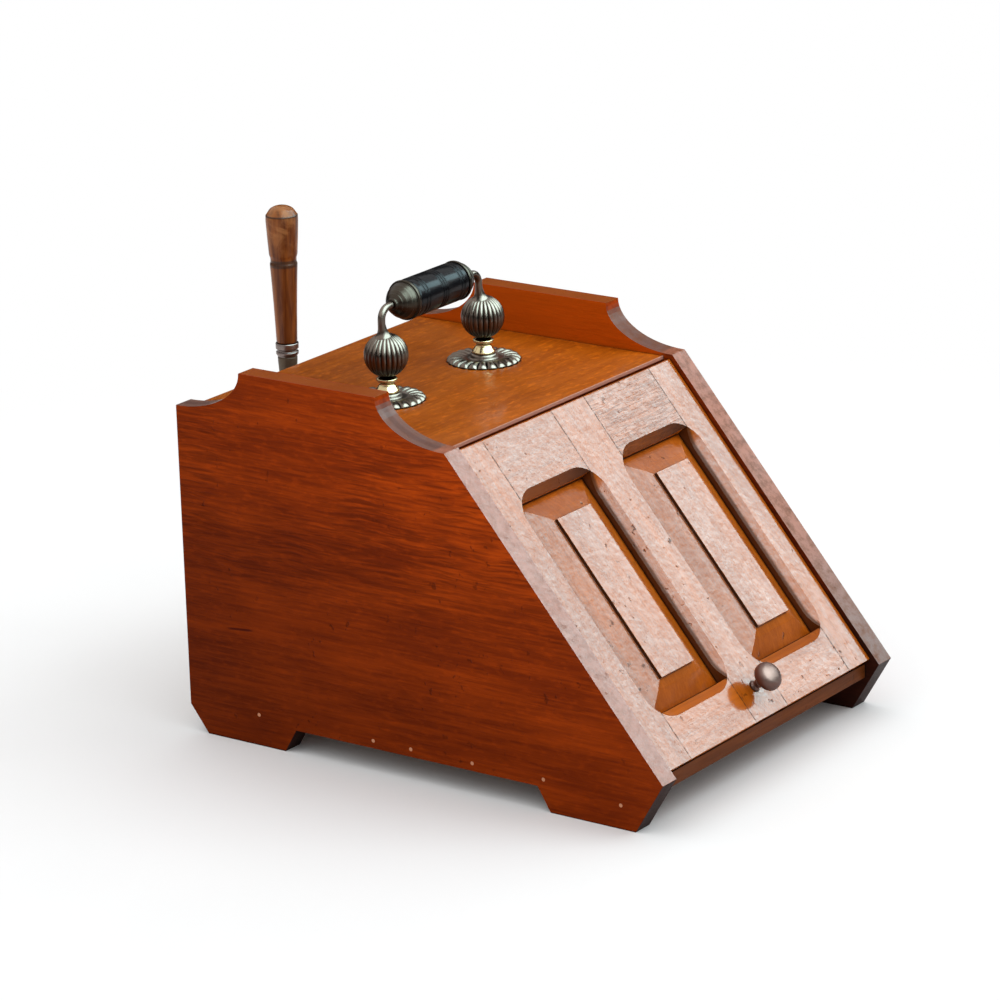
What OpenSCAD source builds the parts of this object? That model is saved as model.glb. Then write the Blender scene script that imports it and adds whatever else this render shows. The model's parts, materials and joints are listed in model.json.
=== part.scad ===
// Slant-front oak coal box: a wooden case with shaped sides, a panelled lid that lifts on two
// hidden pivot pins, a brass and ebonised carrying handle, and a shovel hung at the back.
// The row stands on its feet at z = 0. The lid faces -Y and the shovel hangs on the +Y side.

/* [Case] */
// Width over the two sides
case_w = 330; // [300:2:360]
// Depth of the sides from nose to back edge
case_d = 449; // [435:1:470]
// Height of the sides
case_h = 304; // [296:1:312]
// Thickness of the side boards
side_t = 18.5; // [16:0.5:22]
// Angle of the slanted front, from the floor
slope_deg = 50; // [48.5:0.5:51.5]
// Height of the nose, where the slope meets the undercut front
nose_h = 41.6; // [38:0.2:44]
// How far the front foot stands back from the nose
nose_undercut = 25; // [20:1:30]

/* [Scoops and feet] */
// Length of each concave scoop, along the top edge
scoop_run = 63.6; // [56:0.4:68]
// Depth of each concave scoop, below the top edge
scoop_drop = 34.4; // [30:0.4:38]
// Number of straight steps in each scoop
scoop_steps = 16; // [8:1:32]
// Length of each foot where it meets the floor
foot_len = 77; // [64:1:84]
// Height of the cut-out between the feet
foot_h = 19.4; // [15:0.2:24]
// How far the ends of the cut-out lean in
cut_lean = 11.6; // [6:0.2:16]
// Width of the cut at the foot of the back edge
heel_cut_y = 17; // [10:1:22]
// Height of the cut at the foot of the back edge
heel_cut_z = 22.4; // [15:0.2:28]

/* [Boards] */
// How far the top board's upper face lies below the low ends of the scoops
deck_drop = 2; // [1:0.5:4]
// Thickness of the top board
deck_t = 18; // [15:0.5:20]
// Upright part of the top board's front edge
deck_nose = 2.6; // [2:0.2:3.6]
// How far the top board stops short of the sides' back edge
deck_set_in = 7.5; // [5:0.5:12]
// Thickness of the back board
back_t = 10; // [8:0.5:14]
// Thickness of the bottom board
floor_t = 12.5; // [10:0.5:16]
// Distance of the lid's lower edge from the nose, up the slope
lid_rise = 8; // [6:0.5:10]
// How far the front rail's upright face stands behind the nose
rail_front = 13; // [11:0.5:14]
// Height of the lower edge of that face above the floor
rail_face_low = 28.5; // [26:0.5:30]
// Distance of the front rail's back from the nose
rail_d = 46; // [44:1:52]
// Height of the front rail's underside, behind its sloped part
rail_low = 15.5; // [14:0.5:16]
// Width of that underside, front to back
rail_foot = 10; // [9.5:0.5:12]
// How far the back board stands in from the top board's back edge
back_set_in = 1; // [0.5:0.5:3]
// Width and height of the battens under the top board
cleat = 14; // [10:1:16]
// Distance of those battens behind the top of the slope
cleat_back = 42; // [36:1:60]
// Width of the battens that the lid closes on
stop_w = 10; // [8:0.5:12]
// Thickness of the battens that the lid closes on
stop_t = 12; // [8:0.5:16]
// Distance of those battens from the lid's bottom edge
stop_low = 12; // [8:1:30]
// Distance of those battens from the lid's top edge
stop_high = 60; // [50:1:90]
// Gap between those battens and the closed lid
stop_gap = 0.3; // [0.2:0.1:0.5]

/* [Nails] */
// Radius of the nails through the sides
nail_r = 1.5; // [1.2:0.1:1.8]
// Length of the nails
nail_len = 38; // [32:1:44]
// Nail places along the bottom board, from the nose
nail_y = [380, 268, 232, 174, 108];
// Place of the nail in the front rail, from the nose
rail_nail_y = 38; // [36:1:40]
// Height of the nail in the front rail
rail_nail_z = 19; // [18.5:0.5:22]

/* [Lid] */
// Gap between the lid and each side
lid_side_gap = 1.4; // [1:0.1:2]
// Gap between the lid and the front rail
lid_rail_gap = 1; // [0.8:0.1:1.5]
// How far the lid's face lies below the slope of the sides
lid_recess = 3.5; // [3:0.1:5]
// Thickness of the lid's frame
lid_t = 20; // [18:0.5:22]
// Width of the stiles
stile_w = 31; // [27:0.5:34]
// Width of the muntin
muntin_w = 45; // [40:0.5:50]
// Width of the top rails
top_rail_w = 56.4; // [52:0.4:60]
// Width of the bottom rails
bottom_rail_w = 41; // [39:0.5:48]
// Width of the stopped chamfers round the panels
chamfer_w = 7.4; // [6:0.2:9]
// Depth of the stopped chamfers
chamfer_d = 6; // [5:0.5:7]
// Distance from a panel's corner to where its chamfers are full
chamfer_stop = 18; // [13:0.5:20]
// Depth of the panel groove's front wall below the lid's face
groove_front = 11; // [10:0.5:12]
// Width of the panel grooves
groove_w = 4.4; // [4:0.2:5]
// Depth of the panel grooves
groove_d = 7; // [6:0.5:8]
// How far the panels and tenons stop short of the groove's bottom
groove_slack = 0.7; // [0.4:0.1:1]
// How loosely the tongues lie in the grooves, each side
groove_play = 0.1; // [0.05:0.05:0.2]
// Margin between the frame and the raised field of a panel
field_margin = 23.5; // [20:0.5:27]
// How far the raised field stands above the lid's face
field_proud = 0.8; // [0.4:0.1:1.2]
// Height of the square step round the field
field_step = 3; // [2:0.5:4]
// Width of the shallow shoulder round the field
shoulder_w = 7; // [5:0.5:9]
// How far the shoulder slopes down
shoulder_drop = 1.6; // [1:0.2:2.4]

/* [Fits] */
// Radial clearance of nails, studs, rods and screws in their holes
hole_clear = 0.05; // [0.02:0.01:0.1]
// Gap beyond the end of a pin, stud, rod or screw in its blind hole
end_gap = 0.5; // [0.3:0.1:1]
// How far studs and screws stand out of their nuts
thread_out = 0.8; // [0.5:0.1:1]

/* [Lid pivot] */
// Radius of the pivot pins
pivot_pin_r = 2; // [1.6:0.1:2.4]
// Length of the pivot pins inside the stiles
pivot_in_stile = 20; // [16:1:24]
// Length of the pivot pins inside the sides
pivot_in_side = 11; // [8:0.5:13]
// Distance of the pivot from the lid's face and from its top edge
pivot_in = 5; // [4.8:0.1:5.2]
// Radius of the lid's rounded top corner
lid_top_r = 1.2; // [0.8:0.1:2]
// Distance from the top of the slope to the lid's top edge
lid_top_gap = 1; // [0.6:0.1:1.6]
// Gap between the lid's top corner, as it turns, and the top board
deck_gap = 0.5; // [0.4:0.1:0.8]
// Radial clearance of the pivot pins in the sides
pivot_clear = 0.08; // [0.05:0.01:0.1]
// How far past upright the open lid leans back, in degrees
lid_lean = 5; // [2:0.5:8]
// Gap between the open lid's face and the top board that it rests on
rest_gap = 0.08; // [0.05:0.01:0.2]

/* [Knob] */
// Radius of the knob's head
knob_r = 11.8; // [10:0.1:13]
// Height of the knob above the lid's face
knob_h = 24; // [20:0.5:27]
// Radius of the knob's stem
knob_stem_r = 2.7; // [2.4:0.1:3.2]
// Radius of the bead half way up the knob's stem
knob_bead_r = 3.9; // [3.4:0.1:4.6]
// Radius of the knob's foot on the lid
knob_foot_r = 4.3; // [3.8:0.1:5]
// Radius of the knob's screw where it passes the muntin
knob_screw_r = 2.2; // [1.8:0.1:2.4]
// Distance of the knob's centre from the lid's bottom edge
knob_up = 25; // [22:0.5:30]

/* [Handle] */
// Distance between the two posts
post_span = 129.4; // [126:0.2:136]
// Place of the handle behind the nose
handle_y = 318; // [308:1:326]
// Radius of the rosettes
rosette_r = 30; // [26:0.5:32]
// Height of the rosettes
rosette_h = 6.6; // [5:0.2:8]
// Number of hollows round each rosette
rosette_flutes = 22; // [12:1:24]
// Radius of those hollows
flute_r = 2.4; // [2:0.1:2.8]
// Radius of the necks' waist
neck_waist_r = 6; // [5:0.2:7]
// Radius of the necks' foot
neck_foot_r = 9.4; // [8:0.2:11]
// Radius of the ring under each ball
neck_ring_r = 8.4; // [7.4:0.2:10]
// Radius of the neck where the ball sits on it
neck_top_r = 5.4; // [4.6:0.2:6.4]
// Height of the necks
neck_h = 12.6; // [11:0.2:15]
// Radius of the balls
ball_r = 17.6; // [15:0.2:19]
// Height of the grip's axis above the top board
grip_up = 74; // [72:0.5:78]
// Radius of the curved arms
arm_r = 3; // [2.8:0.1:3.6]
// How far the grip and the arms' upright parts stand to the left of the balls' middle
arm_out = 4.4; // [2:0.2:5]
// Radius of the arms' bend
arm_bend_r = 9; // [7:0.5:11]
// Radius of the flared foot of each arm, where it sits on its ball
arm_foot_r = 7; // [5.6:0.2:7.6]
// Length of that foot, along the line in which it leans
arm_foot_h = 10; // [8:0.5:10.5]
// Length of the tang under each foot, inside the ball
arm_tang = 8; // [6:0.5:9]
// Radius of the studs that hold the handle
stud_r = 2; // [1.6:0.1:2.4]
// Height of the fixing nuts
nut_h = 5; // [4:0.5:6]
// Half the distance across the corners of the fixing nuts
nut_r = 6; // [5:0.5:7]
// How far the studs reach past the middle of the balls
stud_past = 2; // [0:0.5:3]
// Radius of the fixing washers
washer_r = 9; // [8:0.5:11]
// Thickness of the fixing washers
washer_t = 1.6; // [1.2:0.2:2]

/* [Grip] */
// Radius of the grip at its middle
grip_r = 15.8; // [14:0.2:17]
// Length of the grip
grip_len = 64.5; // [60:0.5:66]
// Radius of the grip at its ends
grip_end_r = 14.8; // [13:0.2:15.6]
// Length over which each end of the grip is rounded
grip_edge = 3; // [2:0.2:5]
// Length of each end cap
cap_len = 19; // [15:0.5:20]
// Radius of the caps' ring
cap_ring_r = 16.2; // [14.6:0.2:17]
// Width of the caps' ring
cap_ring_w = 2.8; // [2:0.2:4]
// Radius of the rod through the grip
rod_r = 2; // [1.6:0.1:2.4]
// Length of the rod inside each arm
rod_in_arm = 3; // [2:0.5:4]

/* [Shovel] */
// Distance of the shovel's axis from the sides' back edge
shovel_out = 18; // [17:0.5:21]
// Height of the top of the shovel's handle
shovel_top = 391; // [380:1:402]
// Length of the wooden handle
haft_len = 113.5; // [106:0.5:122]
// Largest radius of the wooden handle
haft_r = 13.2; // [12:0.2:14.4]
// Radius of the wooden handle at the ferrule
haft_low_r = 9; // [8:0.2:9.6]
// Length of the ferrule
ferrule_len = 11; // [8:0.5:13]
// Radius of the ferrule
ferrule_r = 9.4; // [8.6:0.2:10]
// Length of the metal socket, from the ferrule to the blade
socket_len = 44.5; // [38:0.5:48]
// Radius of the socket's upper end
socket_r = 8.2; // [7.4:0.1:8.6]
// Radius of the socket's lower end
socket_low_r = 6.2; // [5.6:0.1:7]
// Radius of the socket's foot flange
flange_r = 11; // [10:0.2:12]
// Thickness of the flange at its edge
flange_t = 1.4; // [1:0.1:2]
// Height of the flange at the socket
flange_h = 3; // [2.4:0.2:4]
// Length of the blade
blade_len = 154; // [138:1:163]
// Width of the blade at its heel
blade_heel_w = 120; // [110:1:130]
// Width of the blade at its tip
blade_tip_w = 92; // [84:1:100]
// Height of the blade's walls at the heel
blade_heel_up = 38; // [37:0.5:42]
// Height of the blade's walls at the tip
blade_tip_up = 12; // [9:0.5:16]
// Thickness of the blade's metal
blade_t = 1.6; // [1.2:0.1:2]
// Gap between the blade and the back board
blade_gap = 1.5; // [1:0.1:2]
// Clearance of the blade in its bracket
blade_clear = 0.5; // [0.4:0.1:0.8]
// Height of the bracket's upper edge above the floor
bracket_top = 150; // [130:1:160]
// Height of the bracket's strap
bracket_h = 20; // [16:1:26]
// Thickness of the bracket's strap
bracket_t = 2.4; // [2:0.1:3]
// Length of the bracket's ears
bracket_ear = 20; // [17:1:24]
// Corner radius of the bracket, inside
bracket_corner = 1.2; // [0.8:0.1:1.3]
// Radius of the bracket's screws
screw_r = 1.8; // [1.6:0.1:2]
// Depth of the screws' holes in the back board
screw_in = 7; // [5:0.5:8]
// Height of the screws' heads
screw_head_h = 1.8; // [1.4:0.1:2.4]
// Radius of the rivets that hold the socket on the blade
rivet_r = 1.4; // [1.2:0.1:1.6]
// Distance of the rivets from the shovel's axis
rivet_out = 8.4; // [8:0.1:8.8]
// Height of the rivets' upper ends above the blade
rivet_up = 2.4; // [2:0.1:2.8]
// Height of the rivets' heads inside the blade
rivet_head_h = 1.2; // [1:0.1:1.6]
// Radius of the tang at the foot of the wooden handle
tang_r = 4; // [3.4:0.1:4.6]
// Length of that tang
tang_len = 22; // [18:1:28]

/* [Liner] */
// Thickness of the liner's sheet metal
liner_t = 1; // [0.8:0.1:1.4]
// Height of the liner's back wall
liner_h = 108; // [95:1:112]
// Length of the liner
liner_len = 311.5; // [290:0.5:320]
// Gap between the liner and what stands round it
liner_gap = 2.5; // [1.5:0.1:3]
// Distance between the closed lid's frame and the liner's edge under it
liner_edge = 7; // [6.5:0.5:9]
// Gap between the liner's floor and the bottom board
liner_lift = 0.3; // [0.2:0.1:0.5]

/* [Hidden] */
$fn = 48;
cut = 1; // how far a cutting shape runs past the face that it cuts

// Case
inner_w = case_w - 2 * side_t;
scoop_z = case_h - scoop_drop;
slope_y = (scoop_z - nose_h) / tan(slope_deg);
slope_len = (scoop_z - nose_h) / sin(slope_deg);
deck_z = scoop_z - deck_drop;
deck_under = deck_z - deck_t;
deck_back = case_d - deck_set_in;
back_y = deck_back - back_set_in;
floor_top = foot_h + floor_t;
shovel_y = case_d + shovel_out;
row_depth = shovel_y + max(haft_r, flange_r);

// Lid, measured in the slope's own frame: x across, y up the slope, z out of the face
lid_half = inner_w / 2 - lid_side_gap;
lid_len = slope_len - lid_rise - lid_top_gap;
panel_x = (muntin_w / 2 + lid_half - stile_w) / 2;
panel_w = lid_half - stile_w - muntin_w / 2;
panel_low = bottom_rail_w;
panel_len = lid_len - top_rail_w - bottom_rail_w;
groove_z = -groove_front - groove_w / 2;
tongue_w = groove_w - 2 * groove_play;
tongue_d = groove_d - groove_slack;
cutter_r = (pow(chamfer_stop, 2) + pow(chamfer_w, 2)) / (2 * chamfer_w);
pivot_y = lid_len - pivot_in;
pivot_span = lid_half + lid_side_gap;

// Handle
post_x = post_span / 2;
neck_z = deck_z + rosette_h;
ball_z = neck_z + neck_h + sqrt(pow(ball_r, 2) - pow(neck_top_r, 2));
foot_seat = sqrt(pow(ball_r, 2) - pow(arm_foot_r, 2));
arm_lean = asin(arm_out / (foot_seat + arm_foot_h));
knee_z = ball_z + (foot_seat + arm_foot_h) * cos(arm_lean);
grip_z = deck_z + grip_up;
arm_reach = post_x - arm_bend_r - grip_len / 2 - cap_len;
rod_len = grip_len + 2 * cap_len + 2 * rod_in_arm;

// Shovel
blade_y = back_y + blade_gap;
haft_z = shovel_top - haft_len;
ferrule_z = haft_z - ferrule_len;
blade_top_z = ferrule_z - socket_len;
tip_z = blade_top_z - blade_len;

// The row's origin lies under the middle of its box
module row() { translate([0, -row_depth / 2, 0]) children(); }

// A side outline in (y, z), extruded across x from x0 to x1
module across(x0, x1) {
    translate([x0, 0, 0]) rotate([90, 0, 90]) linear_extrude(x1 - x0) children();
}

// The lid's frame: origin at the middle of its bottom edge, on its face
module on_lid() {
    translate([0, slope_y, scoop_z])
        rotate([slope_deg, 0, 0])
            translate([0, lid_rise - slope_len, -lid_recess])
                children();
}

module pair(x) {
    translate([-x, 0, 0]) children();
    translate([x, 0, 0]) mirror([1, 0, 0]) children();
}

function nail_places() = concat(
    [for (y = nail_y) [y, foot_h + floor_t / 2]], [[rail_nail_y, rail_nail_z]]);

// ---- Case ----

function scoop(y0, dir) = [for (i = [0 : scoop_steps])
    let (a = 90 * i / scoop_steps)
    [y0 + dir * scoop_run * (1 - cos(a)), case_h - scoop_drop * sin(a)]];

module side_outline() {
    front_top = scoop(slope_y + scoop_run, -1);
    back_top = scoop(case_d - scoop_run, 1);
    polygon(concat(
        [for (i = [scoop_steps : -1 : 0]) front_top[i]],
        back_top,
        [[case_d, heel_cut_z], [case_d - heel_cut_y, 0],
         [case_d - heel_cut_y - foot_len, 0],
         [case_d - heel_cut_y - foot_len - cut_lean, foot_h],
         [nose_undercut + foot_len + cut_lean, foot_h],
         [nose_undercut + foot_len, 0], [nose_undercut, 0], [0, nose_h]]));
}

module side_board() {
    difference() {
        across(-case_w / 2, -inner_w / 2) side_outline();
        for (p = nail_places())
            translate([-case_w / 2 - cut, p[0], p[1]])
                rotate([0, 90, 0]) cylinder(r = nail_r + hole_clear, h = side_t + 2 * cut);
        on_lid() translate([-pivot_span - pivot_in_side, pivot_y, -pivot_in])
            rotate([0, 90, 0])
                cylinder(r = pivot_pin_r + pivot_clear, h = pivot_in_side + cut);
    }
}

module side_left() { color("saddlebrown") row() side_board(); }
module side_right() { color("saddlebrown") row() mirror([1, 0, 0]) side_board(); }

// A point given in the lid's frame, as (y, z) of the row
function lid_point(y, z) = let (u = y + lid_rise - slope_len, w = z - lid_recess)
    [slope_y + u * cos(slope_deg) - w * sin(slope_deg),
     scoop_z + u * sin(slope_deg) + w * cos(slope_deg)];

// The top board's front edge: upright, then cut under. The lid's top corner, which turns about
// the pivot at a distance of reach, stays clear of it, and the open lid rests on it.
module top_board() {
    pivot = lid_point(pivot_y, -pivot_in);
    reach = (pivot_in - lid_top_r) * sqrt(2) + lid_top_r + deck_gap;
    up = deck_z - deck_nose - pivot[1];
    rest = pivot_in + rest_gap + (deck_z - pivot[1]) * sin(lid_lean);
    front = pivot[0] + max((reach - up * sin(slope_deg)) / cos(slope_deg),
                           sqrt(max(0, pow(reach, 2) - pow(up, 2))), rest / cos(lid_lean));
    seat_y = front + (deck_t - deck_nose) * tan(slope_deg);
    color("chocolate") row() difference() {
        across(-inner_w / 2, inner_w / 2)
            polygon([[front, deck_z], [deck_back, deck_z], [deck_back, deck_under],
                     [seat_y, deck_under], [front, deck_z - deck_nose]]);
        pair(post_x) translate([0, handle_y, deck_under - cut])
            cylinder(r = stud_r + hole_clear, h = deck_t + 2 * cut);
    }
}

module back_board() {
    color("sienna") row() difference() {
        translate([-inner_w / 2, back_y - back_t, foot_h])
            cube([inner_w, back_t, deck_under - foot_h]);
        for (s = screw_places())
            translate([s[0], back_y + cut, s[1]])
                rotate([90, 0, 0]) cylinder(r = screw_r + hole_clear, h = screw_in + cut);
    }
}

module bottom_board() {
    color("sienna") row() difference() {
        translate([-inner_w / 2, rail_d, foot_h])
            cube([inner_w, back_y - back_t - rail_d, floor_t]);
        nail_holes();
    }
}

module nail_holes() {
    for (m = [0, 1]) mirror([m, 0, 0])
        for (p = nail_places())
            translate([-inner_w / 2 - cut, p[0], p[1]]) rotate([0, 90, 0])
                cylinder(r = nail_r + hole_clear, h = nail_len - side_t + 2 * cut);
}

// The front rail: an upright face under the lid's bottom edge, and an underside that slopes
// back out of sight
module front_rail() {
    outer = lid_point(-lid_rail_gap, 0);
    inner = lid_point(-lid_rail_gap, -lid_t);
    face_top = outer[1] - (rail_front - outer[0]) / tan(slope_deg);
    color("brown") row() difference() {
        across(-inner_w / 2, inner_w / 2)
            polygon([[rail_front, face_top], inner, [rail_d, floor_top], [rail_d, rail_low],
                     [rail_d - rail_foot, rail_low], [rail_front, rail_face_low]]);
        nail_holes();
    }
}

module lid_stops() {
    color("peru") row() pair(inner_w / 2) on_lid()
        translate([0, stop_low, -lid_t - stop_gap - stop_t])
            cube([stop_w, lid_len - stop_low - stop_high, stop_t]);
}

module top_cleats() {
    color("peru") row() pair(inner_w / 2)
        translate([0, slope_y + cleat_back, deck_under - cleat])
            cube([cleat, back_y - back_t - slope_y - cleat_back, cleat]);
}

module side_nails() {
    color("dimgray") row() pair(case_w / 2) for (p = nail_places())
        translate([0, p[0], p[1]]) rotate([0, 90, 0]) cylinder(r = nail_r, h = nail_len);
}

// ---- Lid ----

// A chamfer cut along +Y on the edge x = 0 of wood that lies at x < 0. Its ends are left
// by a round cutter, so they curve out to the corners of the opening.
module chamfer_cut(len) {
    flare = chamfer_w / chamfer_d;
    out = cutter_r - chamfer_w;
    translate([0, chamfer_stop, 0]) rotate([-90, 0, 0])
        linear_extrude(len - 2 * chamfer_stop)
            polygon([[-chamfer_w, 0], [-chamfer_w, -cut], [cut, -cut],
                     [cut, chamfer_d], [0, chamfer_d]]);
    for (y = [chamfer_stop, len - chamfer_stop])
        translate([out, y, -chamfer_d])
            cylinder(r1 = out, r2 = cutter_r + flare * cut, h = chamfer_d + cut, $fn = 96);
}

// A groove along +Y in the edge x = 0 of wood that lies at x < 0
module groove(len) {
    translate([-groove_d, -cut, groove_z - groove_w / 2])
        cube([groove_d + cut, len + 2 * cut, groove_w]);
}

// A board of the lid's full thickness, from x0 to x1 across and from y0 to y1 up the slope
module lid_slab(x0, x1, y0, y1) {
    translate([x0, y0, -lid_t]) cube([x1 - x0, y1 - y0, lid_t]);
}

// The top corner of the lid is rounded
module round_top() {
    turn_y = lid_len - lid_top_r;
    intersection() {
        children();
        union() {
            lid_slab(-lid_half - cut, lid_half + cut, -cut, turn_y);
            translate([-lid_half - cut, turn_y - cut, -lid_t])
                cube([2 * lid_half + 2 * cut, lid_top_r + cut, lid_t - lid_top_r]);
            translate([-lid_half - cut, turn_y, -lid_top_r])
                rotate([0, 90, 0]) cylinder(r = lid_top_r, h = 2 * lid_half + 2 * cut);
        }
    }
}

module stile() {
    edge = -lid_half + stile_w;
    difference() {
        round_top() lid_slab(-lid_half, edge, 0, lid_len);
        translate([edge, panel_low, 0]) chamfer_cut(panel_len);
        translate([edge, 0, 0]) groove(lid_len);
        translate([-lid_half - cut, pivot_y, -pivot_in]) rotate([0, 90, 0])
            cylinder(r = pivot_pin_r + hole_clear, h = pivot_in_stile + cut);
    }
}

module lid_stile_left() { color("burlywood") row() on_lid() stile(); }
module lid_stile_right() { color("burlywood") row() on_lid() mirror([1, 0, 0]) stile(); }

module lid_muntin() {
    color("burlywood") row() on_lid() difference() {
        round_top() lid_slab(-muntin_w / 2, muntin_w / 2, 0, lid_len);
        for (m = [0, 1]) mirror([m, 0, 0]) {
            translate([muntin_w / 2, panel_low, 0]) chamfer_cut(panel_len);
            translate([muntin_w / 2, 0, 0]) groove(lid_len);
        }
        translate([0, knob_up, -lid_t - cut])
            cylinder(r = knob_screw_r + hole_clear, h = lid_t + 2 * cut);
    }
}

// A rail between a stile and the muntin, with a stub tenon at each end in their grooves
module rail(y0, y1, edge_y, turn) {
    half = panel_w / 2;
    difference() {
        round_top() translate([-panel_x, 0, 0]) union() {
            lid_slab(-half, half, y0, y1);
            translate([-half - tongue_d, y0, groove_z - tongue_w / 2])
                cube([panel_w + 2 * tongue_d, min(y1, pivot_y - pivot_in) - y0, tongue_w]);
        }
        translate([-panel_x, edge_y, 0]) rotate([0, 0, turn])
            translate([0, -half, 0]) {
                chamfer_cut(panel_w);
                groove(panel_w);
                translate([-groove_d, -tongue_d - cut, groove_z - groove_w / 2])
                    cube([groove_d + cut, panel_w + 2 * (tongue_d + cut), groove_w]);
            }
    }
}

module lid_top_rails() {
    color("tan") row() on_lid() for (m = [0, 1]) mirror([m, 0, 0])
        rail(lid_len - top_rail_w, lid_len, lid_len - top_rail_w, -90);
}

module lid_bottom_rails() {
    color("tan") row() on_lid() for (m = [0, 1]) mirror([m, 0, 0])
        rail(0, bottom_rail_w, bottom_rail_w, 90);
}

// The bevel of a panel, as a profile from the tongue in to the field
function bevel_outline(half) = let (
    field = half - field_margin,
    low = groove_z + tongue_w / 2,
    step = field_proud - field_step)
    [[-half - tongue_d, groove_z - tongue_w / 2], [half + tongue_d, groove_z - tongue_w / 2],
     [half + tongue_d, low], [half, low], [field + shoulder_w, step - shoulder_drop],
     [field, step], [field, field_proud], [-field, field_proud], [-field, step],
     [-field - shoulder_w, step - shoulder_drop], [-half, low], [-half - tongue_d, low]];

module panel() {
    full_w = panel_w + 2 * tongue_d;
    full_len = panel_len + 2 * tongue_d;
    translate([-panel_x, panel_low + panel_len / 2, 0]) intersection() {
        translate([0, full_len / 2, 0]) rotate([90, 0, 0])
            linear_extrude(full_len) polygon(bevel_outline(panel_w / 2));
        translate([-full_w / 2, 0, 0]) rotate([90, 0, 90])
            linear_extrude(full_w) polygon(bevel_outline(panel_len / 2));
    }
}

module lid_panel_left() { color("wheat") row() on_lid() panel(); }
module lid_panel_right() { color("wheat") row() on_lid() mirror([1, 0, 0]) panel(); }

module lid_pivot_pins() {
    color("goldenrod") row() on_lid() pair(pivot_span + pivot_in_side - end_gap)
        translate([0, pivot_y, -pivot_in]) rotate([0, 90, 0])
            cylinder(r = pivot_pin_r,
                     h = pivot_in_side + lid_side_gap + pivot_in_stile - 2 * end_gap);
}

module lid_knob() {
    screw_end = -lid_t - nut_h;
    color("slategray") row() on_lid() translate([0, knob_up, 0])
        rotate_extrude($fn = 64) polygon([
            [0, screw_end], [knob_screw_r, screw_end], [knob_screw_r, 0],
            [knob_foot_r, 0], [knob_foot_r, knob_h * 0.06], [knob_stem_r, knob_h * 0.1],
            [knob_stem_r, knob_h * 0.18], [knob_bead_r, knob_h * 0.225],
            [knob_bead_r, knob_h * 0.275], [knob_stem_r, knob_h * 0.315],
            [knob_stem_r, knob_h * 0.39], [knob_r * 0.7, knob_h * 0.44],
            [knob_r * 0.94, knob_h * 0.56], [knob_r, knob_h * 0.68],
            [knob_r * 0.94, knob_h * 0.8], [knob_r * 0.76, knob_h * 0.9],
            [knob_r * 0.42, knob_h * 0.975], [0, knob_h]]);
}

module knob_nut() {
    thick = nut_h - thread_out;
    color("gray") row() on_lid() translate([0, knob_up, -lid_t - thick]) difference() {
        cylinder(r = nut_r, h = thick, $fn = 6);
        translate([0, 0, -cut]) cylinder(r = knob_screw_r + hole_clear, h = thick + 2 * cut);
    }
}

// ---- Handle ----

module at_posts() {
    row() for (x = [-post_x, post_x]) translate([x, handle_y, 0]) children();
}

module bore(r, z0, z1) { translate([0, 0, z0]) cylinder(r = r + hole_clear, h = z1 - z0); }

module handle_rosettes() {
    color("darkkhaki") at_posts() difference() {
        translate([0, 0, deck_z]) rotate_extrude($fn = 96) polygon([
            [0, 0], [rosette_r, 0], [rosette_r, rosette_h * 0.22],
            [rosette_r * 0.93, rosette_h * 0.48], [rosette_r * 0.72, rosette_h * 0.63],
            [rosette_r * 0.5, rosette_h * 0.5], [rosette_r * 0.4, rosette_h * 0.63],
            [neck_foot_r * 1.13, rosette_h], [0, rosette_h]]);
        for (i = [0 : rosette_flutes - 1]) rotate([0, 0, i * 360 / rosette_flutes])
            translate([rosette_r * 0.68, 0, deck_z + rosette_h * 0.63 + flute_r * 0.45])
                rotate([0, 96, 0]) cylinder(r = flute_r, h = rosette_r);
        bore(stud_r, deck_z - cut, deck_z + rosette_h + cut);
    }
}

module handle_necks() {
    color("gold") at_posts() difference() {
        translate([0, 0, neck_z]) rotate_extrude() polygon([
            [0, 0], [neck_foot_r, 0], [neck_foot_r, neck_h * 0.1],
            [neck_foot_r * 0.86, neck_h * 0.28], [neck_waist_r, neck_h * 0.48],
            [neck_waist_r, neck_h * 0.6], [neck_ring_r * 0.86, neck_h * 0.68],
            [neck_ring_r, neck_h * 0.74], [neck_ring_r, neck_h * 0.88],
            [neck_top_r, neck_h * 0.94], [neck_top_r, neck_h], [0, neck_h]]);
        bore(stud_r, neck_z - cut, neck_z + neck_h + cut);
    }
}

// Turns children, whose own z points up from a ball's middle, to the line in which the foot
// of the arm leans to the left
module leaning() { translate([0, 0, ball_z]) rotate([0, -arm_lean, 0]) children(); }

// Each ball is cut flat where it sits on its neck and where the foot of the arm sits on it
module handle_balls() {
    low = neck_z + neck_h;
    color("darkolivegreen") at_posts() difference() {
        intersection() {
            translate([0, 0, ball_z]) sphere(r = ball_r, $fn = 64);
            translate([-ball_r, -ball_r, low]) cube([2 * ball_r, 2 * ball_r, 2 * ball_r]);
            leaning() translate([-2 * ball_r, -2 * ball_r, foot_seat - 4 * ball_r])
                cube([4 * ball_r, 4 * ball_r, 4 * ball_r]);
        }
        bore(stud_r, low - cut, ball_z + stud_past + end_gap);
        leaning() bore(stud_r, foot_seat - arm_tang - end_gap, foot_seat + cut);
    }
}

// The foot of an arm: a tang in the ball, then a flare that narrows to the arm
module arm_foot() {
    leaning() translate([0, 0, foot_seat]) rotate_extrude() polygon([
        [0, -arm_tang], [stud_r, -arm_tang], [stud_r, 0], [arm_foot_r, 0],
        [arm_foot_r, arm_foot_h * 0.1], [arm_foot_r * 0.72, arm_foot_h * 0.32],
        [arm_foot_r * 0.54, arm_foot_h * 0.6], [arm_r, arm_foot_h], [0, arm_foot_h]]);
}

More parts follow.
